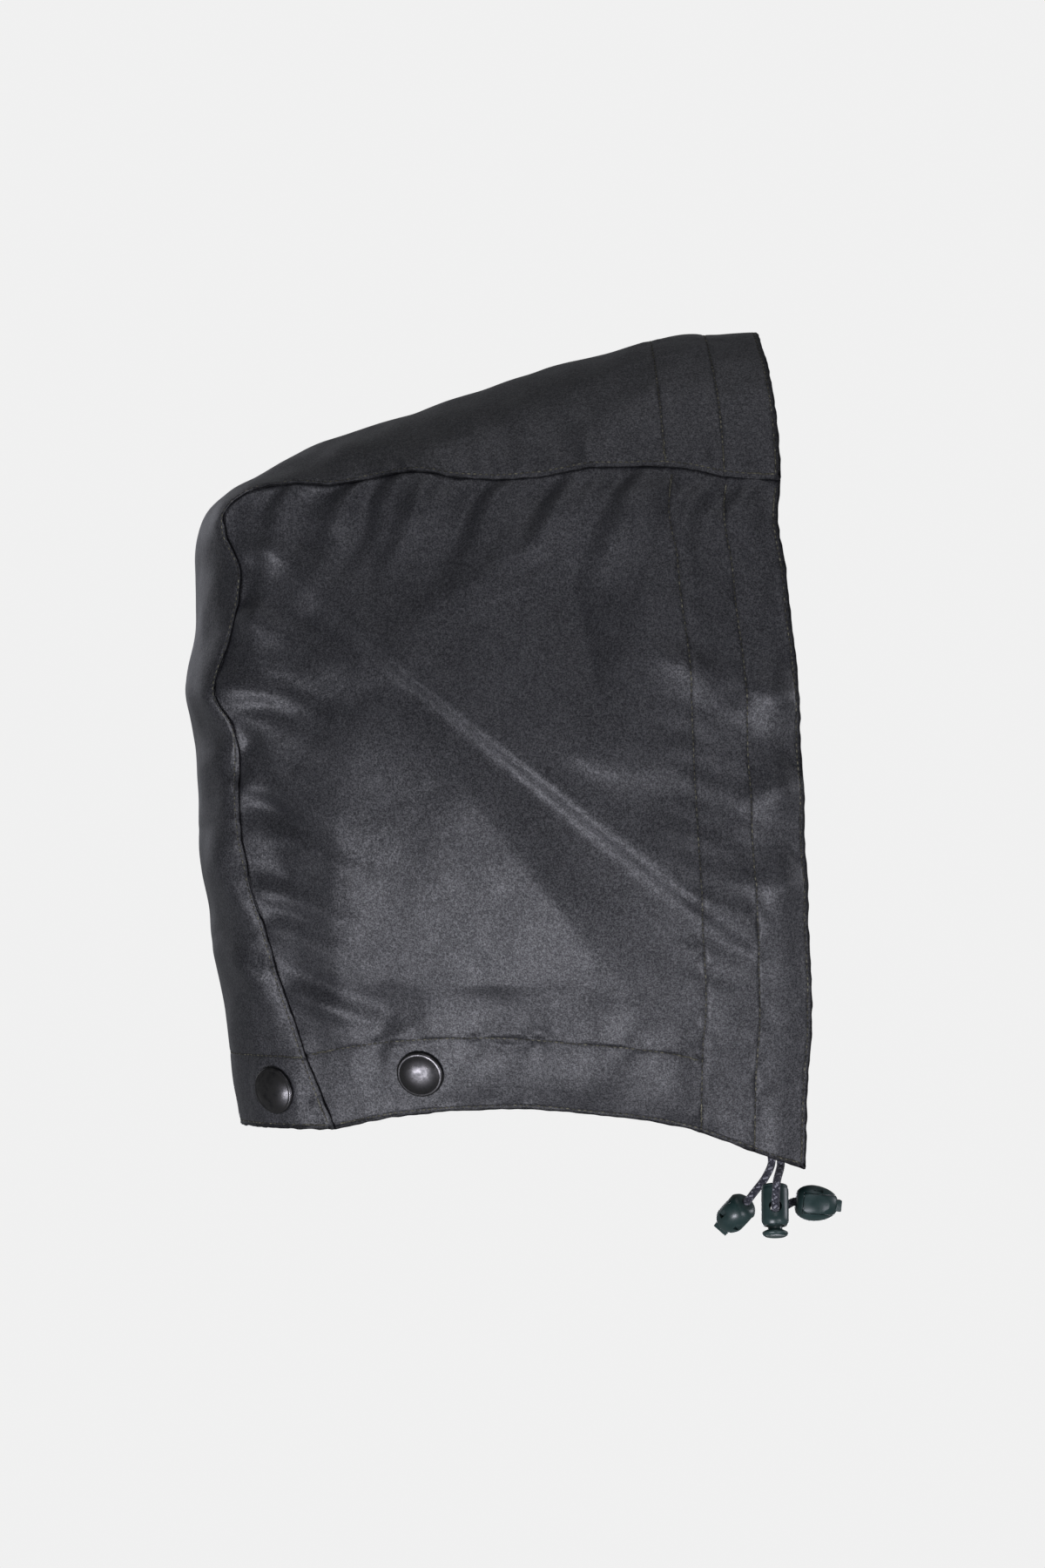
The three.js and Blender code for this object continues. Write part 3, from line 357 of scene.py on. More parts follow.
@dataclass
class HoodForm:
    """The hood's smooth form: the centre panel's surface and the right side panel's."""

    depth: float = 261.0
    height: float = 352.0
    width: float = 196.0
    swell: float = 14.0
    low_swell: float = 1.5
    cloth: float = 1.2
    facing: float = 0.8
    gap: float = 0.3
    seam_lap: float = 8.0
    tunnel: float = 22.0
    front_band: float = 45.0
    neck_band: float = 33.0
    strip_band: float = 30.6
    cord: float = 3.2
    fold_height: float = 8.0
    fold_width: float = 30.0
    step: float = 0.01

    def __post_init__(self) -> None:
        """Lay out the lines that the surfaces hang on."""
        rows = STATIONS
        self.last = len(rows) - 1.0
        self.middle_line = SmoothCurve([self.placed(r[0], 0, r[1]) for r in rows])
        self.seam_line = SmoothCurve([self.placed(r[2], r[4], r[3]) for r in rows])
        self.turn_line = SmoothCurve([(k, r[5], 0) for k, r in enumerate(rows)])
        w = self.fold_width
        folds = [
            (start, bend, end, rise * self.fold_height, left * w, right * w)
            for start, bend, end, rise, left, right in FOLDS
        ]
        self.folds = CrestLines(folds, self.depth, self.height, 2.0)
        self.top_edge = LengthScale(self.under_seam, CROWN_STATION, 0.0)
        self.back_edge = LengthScale(self.under_seam, self.last, CROWN_STATION)
        self.lower_corner = self.placed(FRONT_EDGE[0][0], -FRONT_EDGE[0][2], FRONT_EDGE[0][1])
        front = [self.placed(x, -y, z) for x, z, y in FRONT_EDGE]
        hem = [self.placed(x, -y, z) for x, z, y in HEM]
        ends = self.under_seam(np.array([self.last, 0.0]))
        self.front_line = SmoothCurve([*front, ends[1]])
        self.hem_line = SmoothCurve([ends[0], *hem, self.lower_corner])
        self.corners = [self.hem(0.0), self.lower_corner, self.top(0.0), self.top(1.0)]
        shares = np.linspace(0, 1, 301)
        self.shares = shares
        forward = np.linalg.norm(self.back(shares) - self.front(shares), axis=1)
        upward = np.linalg.norm(self.hem(shares) - self.top(shares), axis=1)
        missing = self.top_edge.total - forward[-1]
        self.forward_lengths = forward + missing * smooth_step(shares, 0.88, 1.0)
        missing = self.back_edge.total - upward[0]
        self.up_lengths = upward + missing * smooth_step(shares, 0.12, 0.0)

    def placed(self, x: float, y: float, z: float) -> Array:
        """A place from shares of the hood's depth, half its width and its height."""
        return np.array([x * self.depth, y * self.width / 2, z * self.height])

    def centre_base(self, station: Array, across: Array) -> Array:
        """Points of the centre panel before folding.

        Args:
            station: rows of the station table, from the front edge.
            across: from -1 at the right seam to 1 at the left seam.

        Returns:
            The points.
        """
        station, across = np.broadcast_arrays(np.asarray(station, float), np.asarray(across, float))
        share = np.clip(station / self.last, 0, 1)
        middle = self.middle_line.at(share)
        seam = self.seam_line.at(share)
        turn = np.radians(self.turn_line.at(share)[..., 1])
        angle = across * turn
        rise = (np.cos(angle) - np.cos(turn)) / (1 - np.cos(turn))
        curve = 1 + (PEAK_CURVE - 1) * np.maximum(1 - station / PEAK_STATIONS, 0)
        x = seam[..., 0] + (middle[..., 0] - seam[..., 0]) * np.maximum(rise, 0) ** curve
        y = seam[..., 1] * np.sin(angle) / np.sin(turn)
        z = seam[..., 2] + (middle[..., 2] - seam[..., 2]) * rise
        return np.stack([x, y, z], -1)

    def centre_normal(self, station: Array, across: Array) -> Array:
        """Outward normals of the centre panel before folding.

        Args:
            station: rows of the station table.
            across: from -1 to 1.

        Returns:
            The normals.
        """
        inside = np.clip(station, 2 * self.step, self.last - 2 * self.step)
        across = np.asarray(across)
        h = self.step
        along = self.centre_base(inside + h, across) - self.centre_base(inside - h, across)
        over = self.centre_base(inside, across + h) - self.centre_base(inside, across - h)
        return -unit(np.cross(along, over))

    def under_seam(self, station: Array) -> Array:
        """The line on which the right side panel meets the centre panel's seam."""
        depth = self.cloth + self.gap
        return self.centre_base(station, -1.0) - depth * self.centre_normal(station, -1.0)

    def half_span(self, station: Array) -> Array:
        """Half the width of the centre panel, measured over its curve.

        Args:
            station: rows of the station table.

        Returns:
            The half widths.
        """
        across = np.linspace(0, 1, 21)
        points = self.centre_base(np.asarray(station)[..., None], across)
        return np.linalg.norm(np.diff(points, axis=-2), axis=-1).sum(-1)

    def top(self, share: Array) -> Array:
        """The side panel's top edge, from the crown forward."""
        return self.under_seam(self.top_edge.parameter(share))

    def back(self, share: Array) -> Array:
        """The side panel's back edge, from the hem up."""
        return self.under_seam(self.back_edge.parameter(share))

    def front(self, share: Array) -> Array:
        """The side panel's front edge, from the lower corner up."""
        return self.front_line.at_length(share)

    def hem(self, share: Array) -> Array:
        """The side panel's hem, from the back seam forward."""
        return self.hem_line.at_length(share)

    def side_base(self, forward: Array, up: Array) -> Array:
        """Points of the right side panel before folding.

        Args:
            forward: from 0 at the back seam to 1 at the front edge.
            up: from 0 at the hem to 1 at the top seam.

        Returns:
            The points.
        """
        f, u = np.broadcast_arrays(np.clip(forward, 0, 1), np.clip(up, 0, 1))
        low, low_front, crown, top_front = self.corners
        fw, uw = f[..., None], u[..., None]
        p = self.back(u) * (1 - fw) + self.front(u) * fw + self.hem(f) * (1 - uw) + self.top(f) * uw
        p = p - low * (1 - fw) * (1 - uw) - low_front * fw * (1 - uw)
        p = p - crown * (1 - fw) * uw - top_front * fw * uw
        p[..., 1] -= self.swell * 4 * f * (1 - f) * 3 * u * (1 - u) * (1 + self.low_swell * (1 - u) ** 2)
        return p

    def side_normal(self, forward: Array, up: Array) -> Array:
        """Outward normals of the right side panel before folding.

        Args:
            forward: from 0 at the back seam to 1 at the front edge.
            up: from 0 at the hem to 1 at the top seam.

        Returns:
            The normals.
        """
        h = self.step
        f, u = np.clip(forward, 2 * h, 1 - 2 * h), np.clip(up, 2 * h, 1 - 2 * h)
        ahead = self.side_base(f + h, u) - self.side_base(f - h, u)
        above = self.side_base(f, u + h) - self.side_base(f, u - h)
        return unit(np.cross(ahead, above))

    def forward_length(self, up: Array) -> Array:
        """The side panel's width from the back seam to the front edge."""
        return np.interp(up, self.shares, self.forward_lengths)

    def up_length(self, forward: Array) -> Array:
        """The side panel's height from the hem to the top seam."""
        return np.interp(forward, self.shares, self.up_lengths)

    def wall(self, from_front: Array, from_hem: Array) -> Array:
        """How thick the cloth is, with its facings and the drawcord's tunnel.

        Args:
            from_front: distance from the front edge.
            from_hem: distance from the hem.

        Returns:
            The thickness in millimetres.
        """
        front = 1 - smooth_step(from_front, self.front_band + 1, self.front_band + 1.8)
        neck = 1 - smooth_step(from_hem, self.neck_band + 1, self.neck_band + 1.8)
        puff = np.sin(math.pi * np.clip(from_front / self.tunnel, 0, 1)) ** 2
        return self.cloth + self.facing * np.maximum(front, neck) + (self.cord + 2 * self.gap) * puff


def in_scene(points: Array) -> Array:
    """Points of the layout as places in the scene, in metres."""
    return (np.asarray(points) - SEAT) * MM


def mesh_piece(
    name: str, points: Array, faces: Sequence, uv: Array | None = None, wear: Array | None = None
) -> Piece:
    """Make a smooth-shaded mesh piece from points and faces.

    Args:
        name: the piece's name.
        points: corner places in metres.
        faces: corner numbers of each face.
        uv: each corner's place on the cloth, in metres.
        wear: each corner's mark, from -1 for painted shade to 1 for pale wear or a pale colour.

    Returns:
        The piece, linked into the scene.
    """
    mesh = bpy.data.meshes.new(name)
    mesh.from_pydata(np.asarray(points).tolist(), [], [list(map(int, f)) for f in faces])
    mesh.polygons.foreach_set("use_smooth", [True] * len(mesh.polygons))
    corners = np.empty(len(mesh.loops), int)
    mesh.loops.foreach_get("vertex_index", corners)
    if uv is not None:
        layer = mesh.uv_layers.new(name="cloth")
        layer.data.foreach_set("uv", np.asarray(uv, np.float32)[corners].ravel())
    if wear is not None:
        tone = mesh.attributes.new("wear", "FLOAT", "POINT")
        tone.data.foreach_set("value", np.asarray(wear, np.float32))
    mesh.validate()
    piece = bpy.data.objects.new(name, mesh)
    bpy.context.scene.collection.objects.link(piece)
    return piece


@dataclass
class ClothNet:
    """An open net of cells with an outer and an inner face, closed round its rim."""

    outer: list[Array] = field(default_factory=list)
    inner: list[Array] = field(default_factory=list)
    uv: list[Array] = field(default_factory=list)
    wear: list[Array] = field(default_factory=list)
    cells: list[Array] = field(default_factory=list)
    rim_levels: tuple[float, ...] = (0.12, 0.32, 0.5, 0.68, 0.88)

    def add(self, outer: Array, inner: Array, uv: Array, wear: Array) -> Array:
        """Add a grid of points.

        Args:
            outer: points of the outer face, in rows and columns.
            inner: points of the inner face.
            uv: places on the cloth.
            wear: each point's pale wear, and its painted shade below zero.

        Returns:
            The point numbers in the grid's rows and columns.
        """
        first = sum(len(block) for block in self.outer)
        shape = outer.shape[:2]
        self.outer.append(outer.reshape(-1, 3))
        self.inner.append(inner.reshape(-1, 3))
        self.uv.append(uv.reshape(-1, 2))
        self.wear.append(wear.reshape(-1))
        return first + np.arange(shape[0] * shape[1]).reshape(shape)

    def weave(self, grid: Array) -> None:
        """Fill a grid of point numbers with cells."""
        a, b, c, d = grid[:-1, :-1], grid[:-1, 1:], grid[1:, 1:], grid[1:, :-1]
        self.cells.append(np.stack([a, b, c, d], -1).reshape(-1, 4))

    def closed(self, name: str, pocket: Callable[[Array, Array], Array] | None = None) -> Piece:
        """Close the net round its rim and make it a piece.

        Args:
            name: the piece's name.
            pocket: gives how deep the rim is pushed in, from places on it and the way
                out of the cloth there.

        Returns:
            The piece.
        """
        outer, inner = np.vstack(self.outer), np.vstack(self.inner)
        uv, wear = np.vstack(self.uv), np.concatenate(self.wear)
        cells = np.vstack(self.cells)
        count = len(outer)
        start = cells.ravel()
        end = np.roll(cells, -1, axis=1).ravel()
        loose = ~np.isin(start * count + end, end * count + start)
        start, end = start[loose], end[loose]
        centres = np.repeat(outer[cells].mean(1), 4, axis=0)[loose]
        rim, place = np.unique(np.concatenate([start, end]), return_inverse=True)
        out = np.zeros((len(rim), 3))
        away = (outer[start] + outer[end]) / 2 - centres
        run = unit(outer[end] - outer[start])
        away = unit(away - (away * run).sum(1, keepdims=True) * run)
        for half in np.split(place, 2):
            np.add.at(out, half, away)
        through = inner[rim] - outer[rim]
        thick = np.linalg.norm(through, axis=1, keepdims=True)
        across = through / thick
        out = unit(out - (out * across).sum(1, keepdims=True) * across)
        points, layers = [outer, inner], [rim]
        rough = 1 + 0.55 * Ripple(71, 3.6, 8.0, 10).at(outer[rim])[:, None]
        for number, level in enumerate(self.rim_levels):
            bulge = 0.5 * np.minimum(thick, 1.2) * math.sqrt(1 - (2 * level - 1) ** 2) * rough
            ring = outer[rim] + through * level + out * bulge
            if pocket is not None:
                ring = ring - out * pocket(ring, out)[:, None]
            points.append(ring)
            layers.append(2 * count + number * len(rim) + np.arange(len(rim)))
        layers.append(rim + count)
        at_start, at_end = np.split(place, 2)
        faces = [cells, cells[:, ::-1] + count]
        for low, high in zip(layers, layers[1:]):
            faces.append(np.stack([low[at_end], low[at_start], high[at_start], high[at_end]], -1))
        rings = len(self.rim_levels)
        all_uv = np.vstack([uv, uv, *([uv[rim]] * rings)])
        # The rim all round is painted dark, a painted shade along the cloth's cut edges and seams; the
        # inner face takes half the outer face's marks.
        all_tone_and_shade = np.concatenate([wear, wear * 0.5, *([np.full(len(rim), -1.0)] * rings)])
        return mesh_piece(name, in_scene(np.vstack(points)), np.vstack(faces), all_uv, all_tone_and_shade)


def grid_lengths(points: Array) -> Array:
    """Places on the laid-out cloth for a grid of points, in metres.

    Args:
        points: the grid's points in rows and columns.

    Returns:
        The distance run along each row and up each column.
    """
    ahead = np.linalg.norm(np.diff(points, axis=1), axis=-1)
    above = np.linalg.norm(np.diff(points, axis=0), axis=-1)
    u = np.concatenate([np.zeros((len(points), 1)), np.cumsum(ahead, axis=1)], axis=1)
    v = np.concatenate([np.zeros((1, points.shape[1])), np.cumsum(above, axis=0)], axis=0)
    u = u - u[:, -1:]
    return np.stack([u, v], -1) * MM


def fine_stops(end: float, rows: Sequence[float], coarse: float, fine: float = 0.45) -> Array:
    """Grid stops from 0 to end, close together at some rows.

    Args:
        end: the last stop.
        rows: places that need fine stops and a stop of their own.
        coarse: spacing elsewhere.
        fine: spacing at the rows.

    Returns:
        The stops in order.
    """
    apart = 0.1  # no two stops stand closer than this
    marks = sorted({0.0, end, *rows})
    stops = [0.0]
    for low, high in zip(marks, marks[1:]):
        start, stop = low, high
        if low in rows:
            start = min(low + 3 * fine, high)
            stops += [low + fine * n for n in (1, 2, 3) if low + fine * n < high - apart]
        tail = []
        if high in rows:
            stop = max(high - 3 * fine, start)
            tail = [high - fine * n for n in (2, 1) if high - fine * n > stops[-1] + apart]
        count = max(int(round((stop - start) / coarse)), 0)
        between = [start + (stop - start) * (n + 1) / count for n in range(count)]
        stops += [place for place in between if place > stops[-1] + apart]
        stops += [place for place in tail if place > stops[-1] + apart]
        if stops[-1] > high - apart:
            stops.pop()
        stops.append(high)
    return np.array(stops)


# Sharp creases of a side: start, bend and end as x and z, then the rise and the spread
# to the left and to the right of the crest, in millimetres.
CREASES = (
    # The long crease and the edges of the bright form under it
    ((0.058, 0.785), (0.124, 0.711), (0.316, 0.610), 1.7, 10, 3.5),
    ((0.266, 0.575), (0.330, 0.543), (0.408, 0.494), 1.3, 6, 18),
    ((0.294, 0.622), (0.469, 0.521), (0.724, 0.378), 1.0, 12, 3),
    ((0.695, 0.394), (0.837, 0.310), (0.999, 0.214), 1.0, 10, 3),
    ((0.401, 0.522), (0.471, 0.422), (0.578, 0.333), 1.4, 10, 16),
    ((0.557, 0.349), (0.620, 0.296), (0.670, 0.238), 1.7, 10, 16),
    ((0.252, 0.454), (0.247, 0.286), (0.256, 0.139), 0.8, 12, 8),
    ((0.259, 0.228), (0.443, 0.207), (0.642, 0.231), 1.0, 12, 5),
    ((0.294, 0.207), (0.323, 0.181), (0.347, 0.154), -1.2, 4, 5),
    # Gathers under the top seam
    ((0.649, 0.820), (0.599, 0.759), (0.514, 0.706), 2.2, 6, 5),
    ((0.514, 0.706), (0.471, 0.685), (0.415, 0.669), 1.5, 5, 5),
    ((0.776, 0.820), (0.727, 0.780), (0.670, 0.711), 2.0, 5, 6),
    ((0.401, 0.820), (0.372, 0.769), (0.344, 0.717), 1.7, 6, 5),
    ((0.259, 0.811), (0.245, 0.769), (0.216, 0.717), 1.4, 5, 4),
    ((0.585, 0.706), (0.514, 0.675), (0.443, 0.659), 1.3, 5, 4),
    ((0.294, 0.780), (0.316, 0.727), (0.304, 0.664), -1.8, 7, 7),
    # Round the form in front of the long crease
    ((0.613, 0.496), (0.691, 0.449), (0.783, 0.475), 1.5, 8, 5),
    ((0.805, 0.820), (0.795, 0.727), (0.826, 0.622), 1.4, 4, 6),
    ((0.620, 0.717), (0.639, 0.622), (0.670, 0.528), -2.3, 8, 9),
    ((0.741, 0.811), (0.748, 0.727), (0.734, 0.643), 1.2, 5, 5),
    # Behind, beside the back seam
    ((0.011, 0.575), (0.089, 0.538), (0.174, 0.467), 1.3, 6, 3),
    ((0.039, 0.391), (0.082, 0.344), (0.131, 0.286), 1.2, 4, 4),
    ((0.060, 0.260), (0.103, 0.244), (0.148, 0.207), 1.1, 4, 4),
    ((0.124, 0.696), (0.117, 0.643), (0.124, 0.601), 0.9, 3, 4),
    # Front band
    ((0.755, 0.603), (0.805, 0.585), (0.857, 0.551), 1.8, 8, 5),
    ((0.897, 0.570), (0.936, 0.546), (0.979, 0.553), 1.8, 7, 5),
    ((0.888, 0.452), (0.942, 0.443), (0.993, 0.460), 3.0, 7, 20),
    ((0.904, 0.336), (0.951, 0.328), (0.987, 0.345), 1.6, 9, 12),
    ((0.883, 0.391), (0.914, 0.359), (0.922, 0.307), -1.0, 4, 4),
    # The facing's join under the stud
    ((0.337, 0.086), (0.334, 0.070), (0.331, 0.050), -0.9, 1.6, 1.6),
)


@dataclass
class Relief:
    """The small relief of the cloth: sharp creases, puckers, gathers and slack."""

    form: HoodForm
    groove: float = 0.28
    groove_half: float = 0.55
    pucker: float = 0.7
    pucker_reach: float = 6.5
    gather: float = 3.2
    gather_reach: float = 23.0
    slack: float = 0.42

    def __post_init__(self) -> None:
        """Choose the waves, which stay the same at every run."""
        self.creases = CrestLines(CREASES, self.form.depth, self.form.height, 1.35)
        self.slack_waves = Ripple(11, 24.0, 62.0, 18)
        self.crumple_waves = Ripple(12, 9.0, 20.0, 18)
        self.pucker_waves = [Ripple(20 + k, 7.5, 15.0, 8) for k in range(6)]
        self.gather_waves = Ripple(31, 10.0, 24.0, 9)
        self.strip_waves = Ripple(41, 16.0, 50.0, 16)

    def along_row(self, number: int, away: Array, run: Array, weight: float) -> Array:
        """The groove of a stitch row and the puckers that its thread draws.

        Args:
            number: which row's waves to use.
            away: distance from the row, below zero to one side.
            run: distance along the row.
            weight: how strongly the cloth puckers there.

        Returns:
            The lift in millimetres.
        """
        groove = -self.groove * np.exp(-((away / self.groove_half) ** 2))
        wave = self.pucker_waves[number].along(run)
        near = np.exp(-np.abs(away) / self.pucker_reach) * (1 - np.exp(-((away / 1.6) ** 2)))
        return groove + weight * self.pucker * wave * near

    def from_seam(self, away: Array, run: Array, weight: float) -> Array:
        """Gathers that run into the cloth from a seam.

        Args:
            away: distance from the seam.
            run: distance along the seam.
            weight: how strongly the cloth is gathered.

        Returns:
            The lift in millimetres.
        """
        share = away / (self.gather_reach * 0.45)
        wave = self.gather_waves.along(run + 0.6 * away)
        return weight * self.gather * wave * share * np.exp(1 - share) * (away > 0)

    def loose(self, points: Array) -> Array:
        """The slack of loose cloth."""
        return self.slack * (self.slack_waves.at(points) + 0.3 * self.crumple_waves.at(points))


@dataclass
class StudSeat:
    """Where a press stud stands on the cloth."""

    name: str
    place: Array
    normal: Array

    def mirrored(self, name: str) -> StudSeat:
        """The same seat on the other side of the hood."""
        return StudSeat(name, self.place * MIRROR, self.normal * MIRROR)

    def press(self, outer: Array, inner: Array, wall: float) -> tuple[Array, Array]:
        """Flatten the cloth that the stud clamps.

        Args:
            outer: points of the outer face.
            inner: points of the inner face.
            wall: thickness of the clamped cloth.

        Returns:
            Both faces, pressed flat round the stud.
        """
        gap = outer - self.place
        high = gap @ self.normal
        off = np.linalg.norm(gap - high[..., None] * self.normal, axis=-1)
        flat, fade, reach = 10.6, 6.0, 25  # of the seat, round it and through the cloth
        hold = (1 - smooth_step(off, flat, flat + fade)) * (np.abs(high) < reach)
        outer = outer - (hold * high)[..., None] * self.normal
        deep = (inner - self.place) @ self.normal
        inner = inner - (hold * (deep + wall))[..., None] * self.normal
        return outer, inner


def edge_shade_and_wear(away: Array) -> Array:
    """How dark the cloth is near an edge: painted shade, from -1 at the edge, with a pale line of wear
    behind it.
    """
    return 0.35 * np.exp(-(((away - 2.8) / 1.3) ** 2)) - 0.85 * np.exp(-((away / 0.9) ** 2))


def row_shade(away: Sequence[Array]) -> Array:
    """Painted shade along the grooves of the stitch rows, from the distances to them."""
    return 0.45 * np.exp(-((np.abs(np.stack(away)).min(0) / 0.6) ** 2))


@dataclass
class CentrePanel:
    """The panel over the crown and down the back, lapped over both side panels."""

    form: HoodForm
    relief: Relief
    seats: list[StudSeat] = field(default_factory=list)
    edge_stitch: float = 1.7
    even_edge: float = 4.0

    def coarse_lift(self, station: Array, across: Array) -> Array:
        """The folds and the wide wrinkles of the panel.

        Args:
            station: rows of the station table.
            across: from -1 to 1.

        Returns:
            The lift in millimetres.
        """
        base = self.form.centre_base(station, across)
        lift = self.form.folds.lift(base[..., 0], base[..., 2])
        creases = self.relief.creases.lift(base[..., 0], base[..., 2])
        lift = lift + creases * smooth_step(np.abs(across), 0.2, 0.9)
        alike = np.stack([base[..., 0], np.sqrt(base[..., 1] ** 2 + 100), base[..., 2]], -1)
        return lift + 0.55 * self.relief.strip_waves.at(alike) + 0.6 * self.relief.loose(alike)

    def surface(self, station: Array, across: Array, depth: Array | float = 0.0) -> Array:
        """Points of the folded panel, without its stitch rows.

        Args:
            station: rows of the station table.
            across: from -1 to 1.
            depth: how far under the outer face.

        Returns:
            The points.
        """
        base = self.form.centre_base(station, across)
        normal = self.form.centre_normal(station, across)
        lift = self.coarse_lift(station, across) - depth
        return base + normal * np.broadcast_to(lift, base.shape[:-1])[..., None]

    def build(self) -> tuple[Piece, list[Row]]:
        """Make the panel.

        Returns:
            The piece, and its stitch rows as points with outward normals.
        """
        form = self.form
        stations = LengthScale(lambda s: form.centre_base(s, 0.0), form.last, 0.0)
        total = stations.total
        rows_at = [EDGE_ROW, form.strip_band]
        rows_at += [total - place for place in (form.front_band, form.tunnel, EDGE_ROW)]
        run = fine_stops(total, rows_at, 1.65)
        station = stations.parameter(run / total)[:, None]
        spans = form.half_span(station[:, 0])[:, None]
        mean_span = float(spans.mean())
        stops = fine_stops(mean_span, [self.edge_stitch], 1.75) / mean_span
        edge = stops * mean_span / spans
        near, near_mean = self.even_edge / spans, self.even_edge / mean_span
        scale = near + (stops - near_mean) / (1 - near_mean) * (1 - near)
        scale = np.where(edge * spans < self.even_edge, edge, scale)
        across = np.concatenate([-1 + scale, (1 - scale)[:, -2::-1]], axis=1)
        station = np.broadcast_to(station, across.shape)
        base = self.surface(station, across)
        normal = form.centre_normal(station, across)
        from_hem = np.broadcast_to(run[:, None], across.shape)
        from_front = total - from_hem
        from_edge = (1 - np.abs(across)) * spans
        sideways = across * spans
        lift = sum(
            self.relief.along_row(k, from_hem - place, sideways + 300, 0.8)
            for k, place in enumerate(rows_at)
        )
        edge_run = from_hem + 700 * (across > 0)
        lift = lift + self.relief.along_row(5, from_edge - self.edge_stitch, edge_run, 1.2)
        lift = lift - 0.55 * np.exp(-((from_edge / 0.55) ** 2))
        wall = form.wall(from_front, from_hem)
        wall = form.cloth + (wall - form.cloth) * smooth_step(from_edge, 8.5, 10.0)
        wall = wall - 0.35 * np.exp(-((from_edge / 0.55) ** 2))
        outer = base + normal * lift[..., None]
        inner = outer - normal * wall[..., None]
        for seat in self.seats:
            outer, inner = seat.press(outer, inner, form.cloth + form.facing)
        # Painted shade along the edges and in the grooves of the stitch rows, with a pale line of wear
        # behind each edge.
        wear = edge_shade_and_wear(np.minimum(np.minimum(from_front, from_hem), from_edge + 0.9))
        wear = wear - row_shade([from_hem - place for place in rows_at] + [from_edge - self.edge_stitch])
        net = ClothNet()
        net.weave(net.add(outer, inner, grid_lengths(outer), wear)[:, ::-1])
        piece = net.closed("hood_centre_panel")
        normal = -surface_normals(outer)
        rows = []
        for place in rows_at:
            k = int(np.abs(run - place).argmin())
            rows.append((outer[k, 1:-1], normal[k, 1:-1]))
            rows.append((inner[k, 5:-5], -normal[k, 5:-5]))
        k = int(np.abs(stops * mean_span - self.edge_stitch).argmin())
        for column in (k, across.shape[1] - 1 - k):
            rows.append((outer[1:-1, column], normal[1:-1, column]))
        return piece, rows


